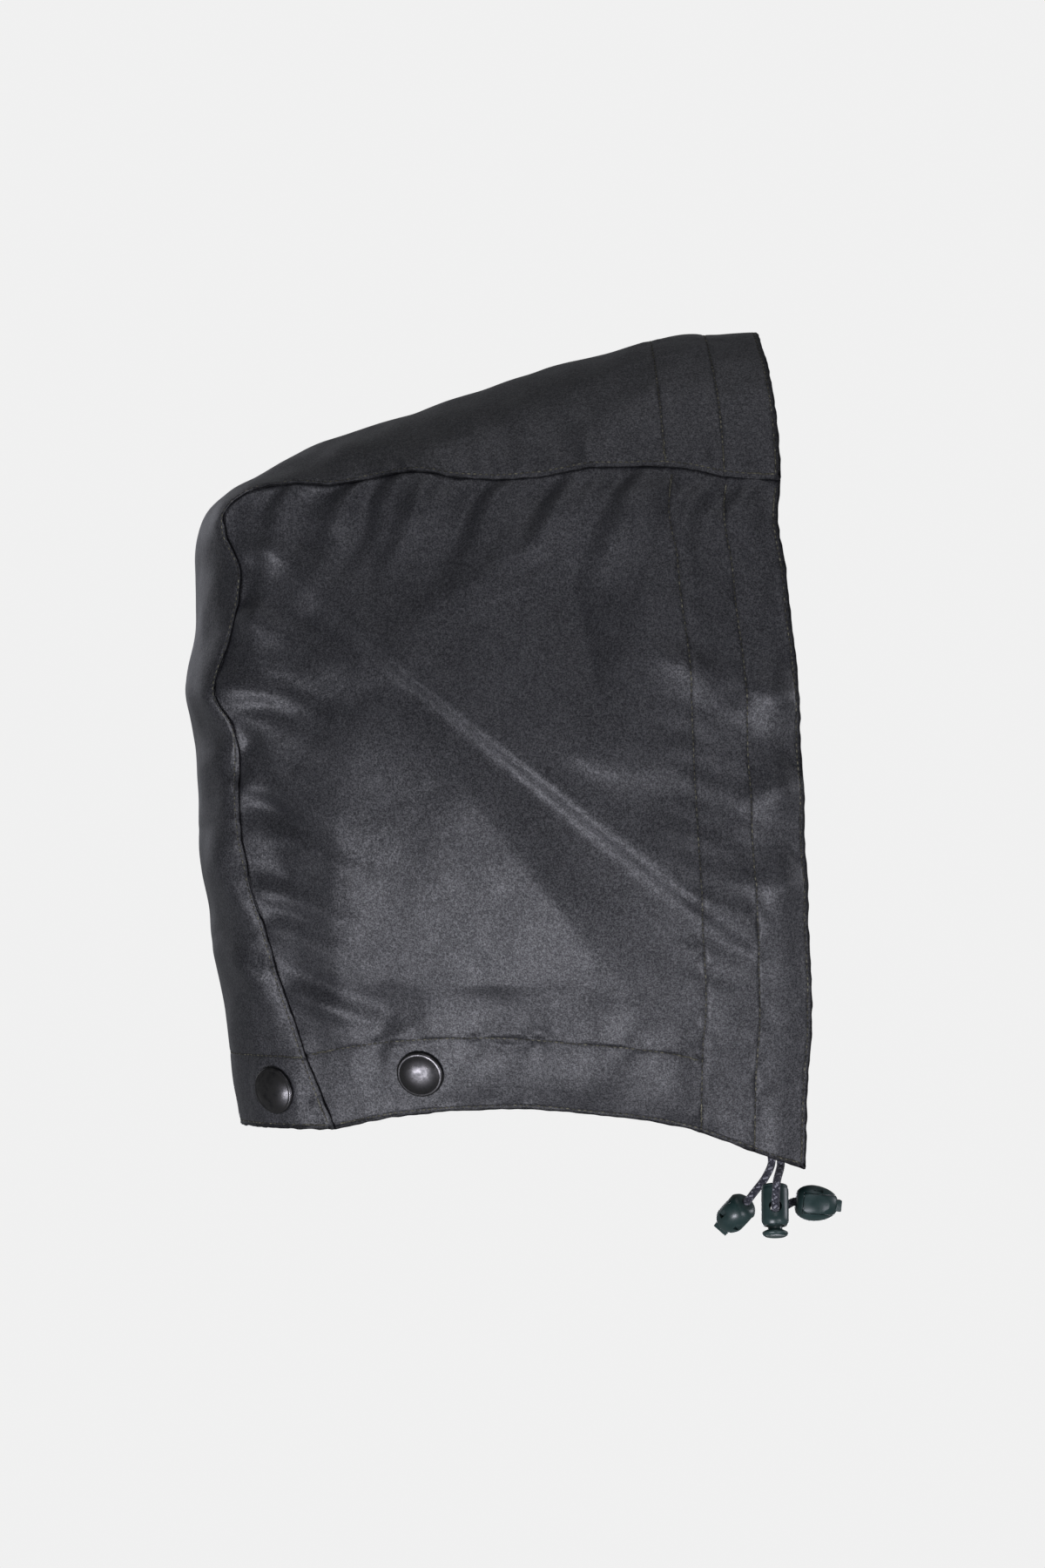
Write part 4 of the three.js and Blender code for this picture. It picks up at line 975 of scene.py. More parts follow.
@dataclass
class SidePanel:
    """A side panel, with its front band, its tunnel and the lap under the centre panel."""

    form: HoodForm
    relief: Relief
    centre: CentrePanel
    mouth: StudSeat
    seats: list[StudSeat] = field(default_factory=list)
    blend: float = 15.0

    def shares(self) -> tuple[Array, Array, Array, Array]:
        """Lay out the panel's grid, with lines along its stitch rows.

        Returns:
            The shares forward and up, and each point's distance from the front edge
            and from the hem.
        """
        form = self.form
        rows = [form.front_band - form.tunnel, form.front_band - EDGE_ROW]
        band = form.front_band - fine_stops(form.front_band, rows, 1.5)
        back = 1 - fine_stops(185.0, [], 1.6)[::-1] / 185.0
        back = np.concatenate([back[back < 0.985], [0.9905, 0.9952]])
        neck = fine_stops(form.neck_band, [EDGE_ROW], 1.6)
        rise = fine_stops(250.0, [], 1.6) / 250.0
        rise = np.concatenate([[0.0018, 0.0036], rise[rise > 0.005]])
        f = np.linspace(0, 1, len(back) + len(band))[None, :]
        u = np.linspace(0, 1, len(neck) + len(rise))[:, None]
        for _ in range(4):
            wide = form.forward_length(u * np.ones_like(f))
            stop = 1 - form.front_band / wide[:, :1]
            f = np.concatenate([back * stop, 1 - band / wide[:, -1:]], axis=1)
            near = np.linalg.norm(form.side_base(f, 0.12) - form.side_base(f, 0.0), axis=-1) / 0.12
            stop = form.neck_band / near
            upper = stop[len(neck) :] + (1 - stop[len(neck) :]) * rise[:, None]
            u = np.concatenate([neck[:, None] / near[: len(neck)], upper], axis=0)
        above = form.neck_band + (u - stop) / (1 - stop) * (form.up_length(f) - form.neck_band)
        return f, u, (1 - f) * form.forward_length(u), np.where(u <= stop, u * near, above)

    def build(self, side: Side) -> tuple[Piece, list[Row]]:
        """Make the panel on one side.

        Args:
            side: the side that it is for.

        Returns:
            The piece, and its stitch rows as points with outward normals.
        """
        form = self.form
        f, u, from_front, from_hem = self.shares()
        base = form.side_base(f, u)
        from_back = f * form.forward_length(u)
        from_top = (1 - u) * form.up_length(f)
        at_back = 1 - smooth_step(from_back, 0, self.blend)
        at_top = (1 - smooth_step(from_top, 0, self.blend)) * (1 - at_back)
        back_station = form.back_edge.parameter(u)
        top_station = form.top_edge.parameter(f)
        plain = 1 - at_back - at_top
        normal = form.side_normal(f, u) * plain[..., None]
        normal = normal + form.centre_normal(back_station, -1.0) * at_back[..., None]
        normal = unit(normal + form.centre_normal(top_station, -1.0) * at_top[..., None])
        x, z = base[..., 0], base[..., 2]
        free = smooth_step(from_front, 1, 9) * smooth_step(from_hem, 1, 9)
        lift = form.folds.lift(x, z) + self.relief.creases.lift(x, z)
        lift = lift + self.relief.loose(base + (0 if side is Side.RIGHT else 400)) * (0.4 + 0.6 * free)
        lift = lift * plain + self.centre.coarse_lift(back_station, -1.0) * at_back
        lift = lift + self.centre.coarse_lift(top_station, -1.0) * at_top
        along_top = form.top_edge.share(top_station) * form.top_edge.total
        along_back = form.back_edge.share(back_station) * form.back_edge.total
        gathers = self.relief.from_seam(from_top, along_top, 1.0)
        lift = lift + gathers * smooth_step(from_back, 4, 30) * smooth_step(from_front, 2, 20)
        gathers = self.relief.from_seam(from_back, along_back + 500, 0.75)
        lift = lift + gathers * smooth_step(from_top, 4, 30) * smooth_step(from_hem, 30, 50)
        rows = [from_front - place for place in (EDGE_ROW, form.tunnel, form.front_band)]
        rows.append(from_hem - EDGE_ROW)
        runs = (from_hem, from_hem, from_hem + 90, from_front)
        for number, (away, run, weight) in enumerate(zip(rows, runs, (0.6, 1.3, 1.3, 0.6))):
            lift = lift + self.relief.along_row(number, away, run, weight)
        past_band = smooth_step(from_front, 40, 45)
        lift = lift + self.relief.along_row(4, from_hem - form.neck_band, from_front, 2.4) * past_band
        tunnel = 0.9 * np.sin(math.pi * np.clip((from_front - 2.5) / (form.tunnel - 3.5), 0, 1)) ** 2
        lift = lift + tunnel
        wall = form.wall(from_front, from_hem) + tunnel
        near_seam = np.minimum(from_back, from_top)
        wall = form.cloth + (wall - form.cloth) * smooth_step(near_seam, 0.5, 9.0)
        outer = base + normal * lift[..., None]
        inner = outer - normal * wall[..., None]
        for seat in self.seats:
            outer, inner = seat.press(outer, inner, form.cloth + form.facing)
        # Painted shade along the edges, in the crevice of the lapped seam and in the grooves of the stitch
        # rows, with a pale line of wear behind each edge.
        wear = edge_shade_and_wear(np.minimum(np.minimum(from_front, from_hem), near_seam * 1.2 + 0.5))
        wear = wear - row_shade(rows)
        wear = wear - row_shade([from_hem - form.neck_band]) * past_band
        net = ClothNet()
        uv = grid_lengths(outer)
        grid = net.add(outer, inner, uv, wear)
        net.weave(grid)
        stations = np.concatenate([back_station[:, 0], top_station[-1, 1:]])
        chain = np.concatenate([grid[:, 0], grid[-1, 1:]])
        chain_uv = np.concatenate([uv[:, 0], uv[-1, 1:]])
        levels = np.linspace(0, 1, 6)[1:, None]
        across = -1 + levels * form.seam_lap / form.half_span(stations)
        under = form.cloth + form.gap
        stations = np.broadcast_to(stations, across.shape)
        lap_outer = self.centre.surface(stations, across, under)
        lap_inner = self.centre.surface(stations, across, under + form.cloth)
        lap_steps = np.array([0.0, 0.0016]) * np.arange(1, 6)[:, None, None]
        lap_uv = np.broadcast_to(chain_uv, (*across.shape, 2)) + lap_steps
        lap = net.add(lap_outer, lap_inner, lap_uv, np.zeros(across.shape))
        net.weave(np.vstack([chain, lap]))
        piece = net.closed(f"hood_side_panel_{side.name.lower()}", self.pocket)
        rows = self.stitch_rows(outer, inner, from_front, from_hem)
        if side is Side.LEFT:
            mesh = piece.data
            mesh.transform(Matrix.Diagonal((1, -1, 1, 1)))
            mesh.flip_normals()
            rows = [(points * MIRROR, normals * MIRROR) for points, normals in rows]
        return piece, rows

    def pocket(self, ring: Array, out: Array) -> Array:
        """The open end of the tunnel, pushed into the rim round the drawcord.

        Args:
            ring: places on the rim.
            out: the way out of the cloth there.

        Returns:
            How deep each place is pushed in.
        """
        gap = ring - self.mouth.place
        down = self.mouth.normal
        off = np.linalg.norm(gap - (gap @ down)[:, None] * down, axis=1)
        inside = (off < self.form.cord / 2 + 0.55) & (np.abs(gap @ down) < 5) & (out @ down > 0.5)
        return np.where(inside, 8.0, 0.0)

    def stitch_rows(self, outer: Array, inner: Array, from_front: Array, from_hem: Array) -> list[Row]:
        """Find the stitch rows on both faces.

        Args:
            outer: the outer face.
            inner: the inner face.
            from_front: distance from the front edge.
            from_hem: distance from the hem.

        Returns:
            Each row as points with outward normals.
        """
        form = self.form
        normal = surface_normals(outer)
        rows = []
        for place in (EDGE_ROW, form.tunnel, form.front_band):
            c = int(np.abs(from_front[len(from_front) // 2] - place).argmin())
            rows.append((outer[1:-1, c], normal[1:-1, c]))
            rows.append((inner[1:-1, c], -normal[1:-1, c]))
        for place, last in ((EDGE_ROW, 0.0), (form.neck_band, form.front_band)):
            r = int(np.abs(from_hem[:, from_hem.shape[1] // 2] - place).argmin())
            pick = from_front[r] >= last
            pick[:1] = pick[-1:] = False
            rows.append((outer[r, pick], normal[r, pick]))
            rows.append((inner[r, pick], -normal[r, pick]))
        return rows


def surface_normals(points: Array) -> Array:
    """The normals of a grid of points, along its rows crossed with up its columns."""
    return unit(np.cross(np.gradient(points, axis=1), np.gradient(points, axis=0)))


class Bench:
    """The bench on which the hard pieces are made, one at a time, in millimetres."""

    @staticmethod
    def clear() -> None:
        """Leave edit mode and deselect everything."""
        if bpy.context.object is not None and bpy.context.object.mode != "OBJECT":
            bpy.ops.object.mode_set(mode="OBJECT")
        bpy.ops.object.select_all(action="DESELECT")

    @staticmethod
    def pick(piece: Piece) -> None:
        """Select one piece alone and make it the active one.

        Args:
            piece: the piece.
        """
        Bench.clear()
        piece.select_set(True)
        bpy.context.view_layer.objects.active = piece

    @staticmethod
    def turned(name: str, profile: Sequence[tuple[float, float]], sides: int) -> Piece:
        """Turn a piece about Z: a disc, extruded and resized ring by ring.

        Args:
            name: the piece's name.
            profile: radius and height of each ring, in order.
            sides: corners of each ring.

        Returns:
            The piece.
        """
        Bench.clear()
        radius, low = profile[0]
        bpy.ops.mesh.primitive_circle_add(
            vertices=sides, radius=radius, fill_type="NGON", location=(0, 0, low)
        )
        piece = bpy.context.object
        piece.name = piece.data.name = name
        bpy.ops.object.transform_apply(location=True, rotation=True, scale=True)
        bpy.ops.object.mode_set(mode="EDIT")
        bpy.ops.mesh.select_all(action="SELECT")
        for wide, high in profile[1:]:
            bpy.ops.mesh.extrude_region_move(TRANSFORM_OT_translate={"value": (0, 0, high - low)})
            share = wide / radius
            bpy.ops.transform.resize(value=(share, share, 1), center_override=(0, 0, high))
            radius, low = wide, high
        bpy.ops.mesh.select_all(action="SELECT")
        bpy.ops.mesh.normals_make_consistent(inside=False)
        bpy.ops.object.mode_set(mode="OBJECT")
        return piece

    @staticmethod
    def block(name: str, low: Sequence[float], high: Sequence[float], round_edge: float = 0.0) -> Piece:
        """Make a block between two corners.

        Args:
            name: the piece's name.
            low: its lowest corner.
            high: its highest corner.
            round_edge: width of the bevel on its edges.

        Returns:
            The piece.
        """
        Bench.clear()
        centre = [(a + b) / 2 for a, b in zip(low, high)]
        bpy.ops.mesh.primitive_cube_add(size=1, location=centre)
        piece = bpy.context.object
        piece.name = piece.data.name = name
        piece.scale = [b - a for a, b in zip(low, high)]
        bpy.ops.object.transform_apply(location=True, rotation=True, scale=True)
        if round_edge > 0:
            bpy.ops.object.mode_set(mode="EDIT")
            bpy.ops.mesh.select_all(action="SELECT")
            bpy.ops.mesh.bevel(offset=round_edge, segments=3, affect="EDGES")
            bpy.ops.object.mode_set(mode="OBJECT")
        return piece

    @staticmethod
    def combine(piece: Piece, other: Piece, how: str) -> None:
        """Cut, join or overlap a piece with another, which is used up.

        Args:
            piece: the piece that stays.
            other: the piece that is used up.
            how: DIFFERENCE, UNION or INTERSECT.
        """
        Bench.pick(piece)
        tool = piece.modifiers.new("combine", "BOOLEAN")
        tool.operation = how
        tool.solver = "EXACT"
        tool.object = other
        bpy.ops.object.modifier_apply(modifier=tool.name)
        bpy.data.objects.remove(other, do_unlink=True)

    @staticmethod
    def soften(piece: Piece, width: float, angle: float, segments: int = 2) -> None:
        """Round a piece's edges and shade it smooth between them.

        Args:
            piece: the piece.
            width: width of the bevel.
            angle: edges that turn by more degrees than this are rounded.
            segments: steps of the bevel.
        """
        Bench.pick(piece)
        tool = piece.modifiers.new("soften", "BEVEL")
        tool.width = width
        tool.segments = segments
        tool.limit_method = "ANGLE"
        tool.angle_limit = math.radians(angle)
        tool.use_clamp_overlap = True
        bpy.ops.object.modifier_apply(modifier=tool.name)
        bpy.ops.object.shade_smooth_by_angle(angle=math.radians(38))

    @staticmethod
    def set_down(piece: Piece, place: Array, direction: Array, towards: Array) -> None:
        """Carry a finished piece to its place on the hood.

        Args:
            piece: the piece, made about Z with its foot at zero.
            place: where its zero goes, in the layout.
            direction: where its Z points.
            towards: where its X points, as nearly as it can.
        """
        z = unit(np.asarray(direction, float))
        y = unit(np.cross(z, towards))
        x = np.cross(y, z)
        matrix = Matrix.Identity(4)
        for row in range(3):
            matrix[row][0], matrix[row][1], matrix[row][2] = (float(axis[row]) * MM for axis in (x, y, z))
            matrix[row][3] = float(in_scene(place)[row])
        piece.data.transform(matrix)
        piece.matrix_world = Matrix.Identity(4)


def dressed(
    piece: Piece, finish: bpy.types.Material, body: str, nodes: Sequence[str]
) -> None:
    """Give a piece its finish and its body, and hide the nodes that it replaces.

    Args:
        piece: the piece.
        finish: its material.
        body: the body that it rides on.
        nodes: the nodes that it replaces.
    """
    piece.data.materials.clear()
    piece.data.materials.append(finish)
    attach(piece, body)
    if nodes:
        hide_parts(*nodes)
    LOG.info("%s: %d corners", piece.name, len(piece.data.vertices))


def sampled(at: Array, run: Array, values: Array) -> Array:
    """The vectors along a line at some distances run."""
    return np.stack([np.interp(at, run, values[:, n]) for n in range(3)], -1)


@dataclass
class Stitching:
    """Lockstitch rows: one stitch, modelled once and laid along each row."""

    pitch: float = 2.45
    length: float = 2.0
    width: float = 0.56
    height: float = 0.36
    dip: float = 0.3
    tack: int = 4

    def one(self) -> tuple[Array, list[list[int]]]:
        """Model one stitch of unit size.

        Returns:
            Its corners, with its length along X, and its faces.
        """
        rings = [(0.3, -0.5), (0.85, -0.4), (1.0, 0.0), (0.85, 0.4), (0.3, 0.5)]
        piece = Bench.turned("stitch", rings, sides=6)
        corners = np.array([v.co[:] for v in piece.data.vertices])[:, [2, 0, 1]]
        faces = [list(f.vertices) for f in piece.data.polygons]
        bpy.data.objects.remove(piece, do_unlink=True)
        return corners, faces

    def lay(self, name: str, rows: Sequence[Row], seed: int) -> Piece:
        """Lay stitches along rows.

        Args:
            name: the piece's name.
            rows: each row as points with outward normals.
            seed: number that the small unevenness comes from.

        Returns:
            All the stitches as one piece.
        """
        chance = np.random.default_rng(seed)
        corners, faces = self.one()
        places, runs, outs = [], [], []
        for points, normals in rows:
            steps = np.linalg.norm(np.diff(points, axis=0), axis=1)
            run = np.concatenate([[0], np.cumsum(steps)])
            count = int((run[-1] - 1.0) / self.pitch)
            at = (run[-1] - count * self.pitch) / 2 + self.pitch * (np.arange(count) + 0.5)
            ends = [at[0] + self.pitch * (k + 0.45) for k in range(self.tack)]
            at = np.concatenate([at, ends, run[-1] - np.array(ends)])
            ahead = unit(sampled(at + 0.8, run, points) - sampled(at - 0.8, run, points))
            out = unit(sampled(at, run, normals))
            beside = np.cross(out, ahead)
            sway = chance.normal(0, 0.05, len(at))
            sway[count:] = chance.normal(0, 0.2, len(at) - count)
            places.append(sampled(at, run, points) + beside * sway[:, None])
            runs.append(unit(ahead + beside * chance.normal(0, 0.05, len(at))[:, None]))
            outs.append(out)
        place, ahead, out = (np.vstack(v) for v in (places, runs, outs))
        beside = np.cross(out, ahead)
        x, y, z = (corners[None, :, n, None] for n in range(3))
        high = z * self.height / 2 + 0.1 - self.dip * (2 * x) ** 4
        points = place[:, None] + ahead[:, None] * x * self.length
        points = points + beside[:, None] * y * self.width / 2 + out[:, None] * high
        all_faces = [[n + k * len(corners) for n in f] for k in range(len(place)) for f in faces]
        # Each stitch gets a random paleness and painted shade at its two ends, where it dips into the
        # cloth.
        paleness = chance.uniform(0.15, 1.0, (len(place), 1)) * (1 - (2 * corners[None, :, 0]) ** 2)
        return mesh_piece(name, in_scene(points.reshape(-1, 3)), all_faces, wear=paleness.ravel())


@dataclass
class PressStud:
    """A press stud: a domed cap with its post, and the socket inside the neck band."""

    cloth: float = 2.0
    gap: float = 0.3
    cap: float = 20.0
    cap_height: float = 3.6
    post: float = 4.0
    rivet: float = 5.6
    rivet_height: float = 0.5
    socket: float = 13.0
    socket_base: float = 0.8
    socket_height: float = 3.6
    bore: float = 6.4

    def build_cap(self, seat: StudSeat) -> Piece:
        """Make the cap with its post.

        Args:
            seat: where it stands.

        Returns:
            The piece.
        """
        r, g = self.cap / 2, self.gap
        foot = -(self.cloth + g + self.socket_base + g + self.rivet_height)
        profile = [
            (self.rivet / 2, foot), (self.rivet / 2, foot + self.rivet_height),
            (self.post / 2, foot + self.rivet_height), (self.post / 2, g), (r - 0.7, g),
            (r - 0.15, g + 0.3), (r, g + 0.8), (r - 0.1, g + 1.25), (r - 0.45, g + 1.65),
            (r - 0.9, g + 1.85), (r - 1.25, g + 1.8), (r - 1.5, g + 1.9), (r - 2.3, g + 2.3),
            (r - 3.4, g + 2.75), (r - 4.8, g + 3.15), (r - 6.4, g + 3.43), (r - 8.0, g + 3.56),
            (0.15, g + self.cap_height),
        ]
        piece = Bench.turned(f"press_stud_cap_{seat.name}", profile, 96)
        Bench.soften(piece, 0.06, 34)
        Bench.set_down(piece, seat.place, seat.normal, AHEAD)
        return piece

    def build_socket(self, seat: StudSeat) -> Piece:
        """Make the socket, open towards the collar, with spring slots in its rim.

        Args:
            seat: where it stands.

        Returns:
            The piece.
        """
        r, b = self.socket / 2, self.bore / 2
        top = self.cloth + self.gap
        wide = self.post / 2 + self.gap
        body = [
            (r - 0.1, top), (r, top + 0.35), (r, top + 0.9), (r - 0.35, top + 1.3),
            (r - 0.75, top + 1.5), (r - 1.2, top + 2.3), (r - 1.25, top + 3.1),
            (r - 1.6, top + self.socket_height), (b + 0.35, top + self.socket_height),
            (b, top + self.socket_height - 0.35), (b, top + 1.6),
            (b + 0.25, top + self.socket_base + 0.2), (b, top + self.socket_base),
        ]
        piece = Bench.turned(f"press_stud_socket_{seat.name}", body, 72)
        hole = Bench.turned("post_hole", [(wide, top - 1), (wide, top + 2.4)], 48)
        Bench.combine(piece, hole, "DIFFERENCE")
        for turn in (0.0, 1.0):
            slot = Bench.block("spring_slot", (-r * 1.2, -0.35, top + 2.7), (r * 1.2, 0.35, top + 5))
            slot.data.transform(Matrix.Rotation(turn * math.pi / 2, 4, "Z"))
            Bench.combine(piece, slot, "DIFFERENCE")
        Bench.soften(piece, 0.07, 34)
        Bench.set_down(piece, seat.place, -seat.normal, AHEAD)
        return piece


@dataclass
class BarrelLock:
    """The spring lock on the right end of the drawcord."""

    length: float = 17.4
    diameter: float = 11.4
    bore: float = 8.0
    top: float = 2.0
    hole: float = 5.4
    hole_down: float = 10.0
    button: float = 10.8
    button_height: float = 2.4
    travel: float = 1.8
    reach: float = 10.2
    gap: float = 0.3
    cord: float = 3.2
    slot_room: float = 0.4
    lean: float = 15.0

    @property
    def down(self) -> Array:
        """The way from the barrel's closed top to its button."""
        lean = math.radians(self.lean)
        return np.array([0, -math.sin(lean), -math.cos(lean)])

    @property
    def through(self) -> Array:
        """The way that the cord goes through the barrel, from outside to inside."""
        lean = math.radians(self.lean)
        return np.array([0, math.cos(lean), -math.sin(lean)])

    @property
    def cord_drop(self) -> float:
        """How far under the middle of the cross hole the cord lies."""
        return self.hole / 2 - self.cord / 2 - self.gap

    def build_barrel(self, top: Array) -> Piece:
        """Make the barrel.

        Args:
            top: the middle of its closed top.

        Returns:
            The piece.
        """
        r, end = self.diameter / 2, self.length
        profile = [
            (r - 2.2, 0.25), (r - 1.9, 0.05), (r - 1.35, 0), (r - 0.75, 0.25), (r - 0.35, 0.8),
            (r - 0.45, 1.25), (r - 0.08, 1.9), (r, 2.8), (r, end - 3.0), (r, end - 2.0),
            (r - 0.12, end - 1.5), (r - 0.45, end - 0.8), (r - 0.9, end),
        ]
        piece = Bench.turned("cord_lock_barrel", profile, 72)
        bore = Bench.turned("bore", [(self.bore / 2, self.top), (self.bore / 2, end + 1)], 64)
        Bench.combine(piece, bore, "DIFFERENCE")
        across = Bench.turned("cross_hole", [(self.hole / 2, -r * 2), (self.hole / 2, r * 2)], 48)
        turn = Matrix.Rotation(math.pi / 2, 4, "X")
        across.data.transform(Matrix.Translation((0, 0, self.hole_down)) @ turn)
        Bench.combine(piece, across, "DIFFERENCE")
        Bench.soften(piece, 0.22, 40, 3)
        Bench.set_down(piece, top, self.down, AHEAD)
        return piece

    def build_plunger(self, top: Array) -> Piece:
        """Make the plunger with its mushroom button.

        Args:
            top: the middle of the barrel's closed top.

        Returns:
            The piece.
        """
        stem, r = self.bore / 2 - self.gap, self.button / 2
        low = self.length + self.travel + self.gap
        end = low + self.button_height
        profile = [
            (stem, self.length - self.reach), (stem, self.length - 0.6),
            (stem - 0.7, self.length - 0.1), (stem - 0.7, low - 0.5), (stem + 0.1, low - 0.1),
            (r - 0.8, low + 0.3), (r - 0.25, low + 0.6), (r, low + 1.1), (r - 0.1, low + 1.6),
            (r - 0.45, end - 0.25), (r - 1.1, end), (r - 1.6, end - 0.12), (0.3, end - 0.16),
        ]
        piece = Bench.turned("cord_lock_plunger", profile, 64)
        half = self.cord / 2 + self.gap
        at = self.hole_down + self.cord_drop
        high = at + half + self.travel + self.slot_room
        slot = Bench.block("cord_slot", (-half, -20, at - half), (half, 20, high), 0.5)
        Bench.combine(piece, slot, "DIFFERENCE")
        Bench.soften(piece, 0.12, 40)
        Bench.set_down(piece, top, self.down, AHEAD)
        return piece


@dataclass
class CordBell:
    """A two-part bell: a shell that an insert with a latch snaps into."""

    length: float = 17.5
    diameter: float = 15.0
    flat: float = 12.4
    tab: float = 1.6
    lip: float = 2.6
    slot: float = 8.6
    window: float = 1.9
    window_length: float = 3.8
    windows_apart: float = 8.6
    cord_depth: float = 9.0
    cord: float = 3.2
    gap: float = 0.3

    def egg(self, name: str) -> Piece:
        """Make the outer form that both parts are cut from.

        Args:
            name: the piece's name.

        Returns:
            The piece.
        """
        outline = [
            (0.3, 0), (0.45, 0), (0.62, 0.02), (0.76, 0.07), (0.88, 0.15), (0.96, 0.25),
            (1.0, 0.35), (1.0, 0.43), (0.98, 0.53), (0.93, 0.63), (0.86, 0.73), (0.76, 0.82),
            (0.62, 0.91), (0.46, 0.97), (0.3, 1.0),
        ]
        return Bench.turned(name, [(r * self.diameter / 2, h * self.length) for r, h in outline], 72)

    def bore(self) -> Piece:
        """Make the cutter of the cord's hole."""
        r = self.cord / 2 + self.gap
        return Bench.turned("bell_bore", [(r, -self.lip), (r, self.cord_depth + self.gap)], 40)

    def slab(self, wide: float, low: float, high: float, half: float) -> Piece:
        """Make a cutter across the bell between two heights."""
        return Bench.block("slab", (-wide, -half, low), (wide, half, high))

    def build(self, side: Side, mouth: Array, axis: Array, towards: Array) -> tuple[Piece, Piece]:
        """Make both parts of a bell.

        Args:
            side: which cord end it is on.
            mouth: where the cord enters it.
            axis: the way from its mouth to its latch.
            towards: where the long side of its slot lies.

        Returns:
            The shell and the insert.
        """
        name = side.name.lower()
        r, low = self.diameter / 2, (self.length - self.window_length) / 2
        shell = self.egg(f"bell_shell_{name}")
        slot = self.slab(2 * r, self.lip, self.length + self.tab, self.slot / 2)
        Bench.combine(shell, slot, "DIFFERENCE")
        Bench.combine(shell, self.bore(), "DIFFERENCE")
        for middle in (-self.windows_apart / 2, self.windows_apart / 2):
            near, far = middle - self.window / 2, middle + self.window / 2
            window = Bench.block("window", (near, -2 * r, low), (far, 0, low + self.window_length))
            Bench.combine(shell, window, "DIFFERENCE")
        insert = self.egg(f"bell_insert_{name}")
        half = self.slot / 2 - self.gap
        room = self.slab(self.flat / 2, self.lip + self.gap, self.length, half)
        Bench.combine(insert, room, "INTERSECT")
        wide, deep = r * 0.45, half * 0.6
        low, high = self.length - 3 * self.tab, self.length + self.tab
        latch = Bench.block("latch", (-wide, -deep, low), (wide, deep, high), 0.4)
        Bench.combine(insert, latch, "UNION")
        Bench.combine(insert, self.bore(), "DIFFERENCE")
        for piece in (shell, insert):
            Bench.soften(piece, 0.2, 36, 2)
            Bench.set_down(piece, mouth, axis, towards)
        return shell, insert


def tube_faces(first: int, sides: int, count: int) -> list[list[int]]:
    """The faces of a tube whose corners are numbered one side after another.

    Args:
        first: number of its first corner.
        sides: number of its sides.
        count: number of corners along each side.

    Returns:
        The cells of its wall, then its two ends.
    """
    here = first + np.arange(sides * count).reshape(sides, count)
    beside = np.roll(here, -1, axis=0)
    wall = np.stack([here[:, :-1], beside[:, :-1], beside[:, 1:], here[:, 1:]], -1)
    return [*wall.reshape(-1, 4).tolist(), here[::-1, 0].tolist(), here[:, -1].tolist()]


@dataclass
class Drawcord:
    """One end of the braided drawcord, from inside its tunnel to inside its bell."""

    diameter: float = 3.2
    strands: int = 8
    lay: float = 9.4
    strand_half_width: float = 0.46
    strand_half_height: float = 0.26
    strand_rise: float = 0.13
    strand_clear: float = 0.02
    pale_strands: tuple[tuple[int, int], ...] = ((2, 1), (6, 1), (5, -1), (1, -1))

    def build(self, name: str, route: Sequence[Array]) -> tuple[Piece, list[tuple[float, ...]], float]:
        """Braid the cord along its route.

        Args:
            name: the piece's name.
            route: the points that the cord goes through.

        Returns:
            The piece, the points of its middle line in metres, and its length.
        """
        line = SmoothCurve(route)
        count = int(line.length / 0.17)
        at = np.linspace(0, 1, count)
        middle = line.at_length(at)
        ahead = unit(np.gradient(middle, axis=0))
        beside = np.empty_like(ahead)
        beside[0] = unit(np.cross(ahead[0], [0.3, 1.0, 0.2]))
        for k in range(1, count):
            step = beside[k - 1] - ahead[k] * (beside[k - 1] @ ahead[k])
            beside[k] = step / np.linalg.norm(step)
        other = np.cross(ahead, beside)
        run = at * line.length
        points, faces, fleck = [], [], []
        clouds = Ripple(51, 2.5, 6.0, 6)
        sides, core_sides = 6, 8
        for way in (1, -1):
            for strand in range(self.strands):
                turn = way * 2 * math.pi * run / self.lay + 2 * math.pi * strand / self.strands
                out = np.cos(turn)[:, None] * beside + np.sin(turn)[:, None] * other
                wave = way * self.strand_rise * np.cos(self.strands * turn)
                reach = self.diameter / 2 - self.strand_half_height + self.strand_clear + wave
                path = middle + out * reach[:, None]
                forward = unit(np.gradient(path, axis=0))
                over = unit(np.cross(forward, out))
                first = sum(len(block) for block in points)
                for n in range(sides):
                    angle = 2 * math.pi * n / sides
                    points.append(
                        path
                        + over * math.cos(angle) * self.strand_half_width
                        + out * math.sin(angle) * self.strand_half_height
                    )
                faces += tube_faces(first, sides, count)
                light = 1.0 if (strand, way) in self.pale_strands else 0.15
                value = light * smooth_step(clouds.along(run + 37 * strand + 200 * way), -0.35, 0.5)
                fleck.append(np.tile(value, sides))
        core = self.diameter / 2 - 0.5
        first = sum(len(block) for block in points)
        for n in range(core_sides):
            angle = 2 * math.pi * n / core_sides
            points.append(middle + core * (math.cos(angle) * beside + math.sin(angle) * other))
        faces += tube_faces(first, core_sides, count)
        fleck.append(np.zeros(core_sides * count))
        piece = mesh_piece(name, in_scene(np.vstack(points)), faces, wear=np.concatenate(fleck))
        path = [tuple(map(float, p)) for p in in_scene(line.at_length(np.linspace(0, 1, 36)))]
        return piece, path, line.length * MM


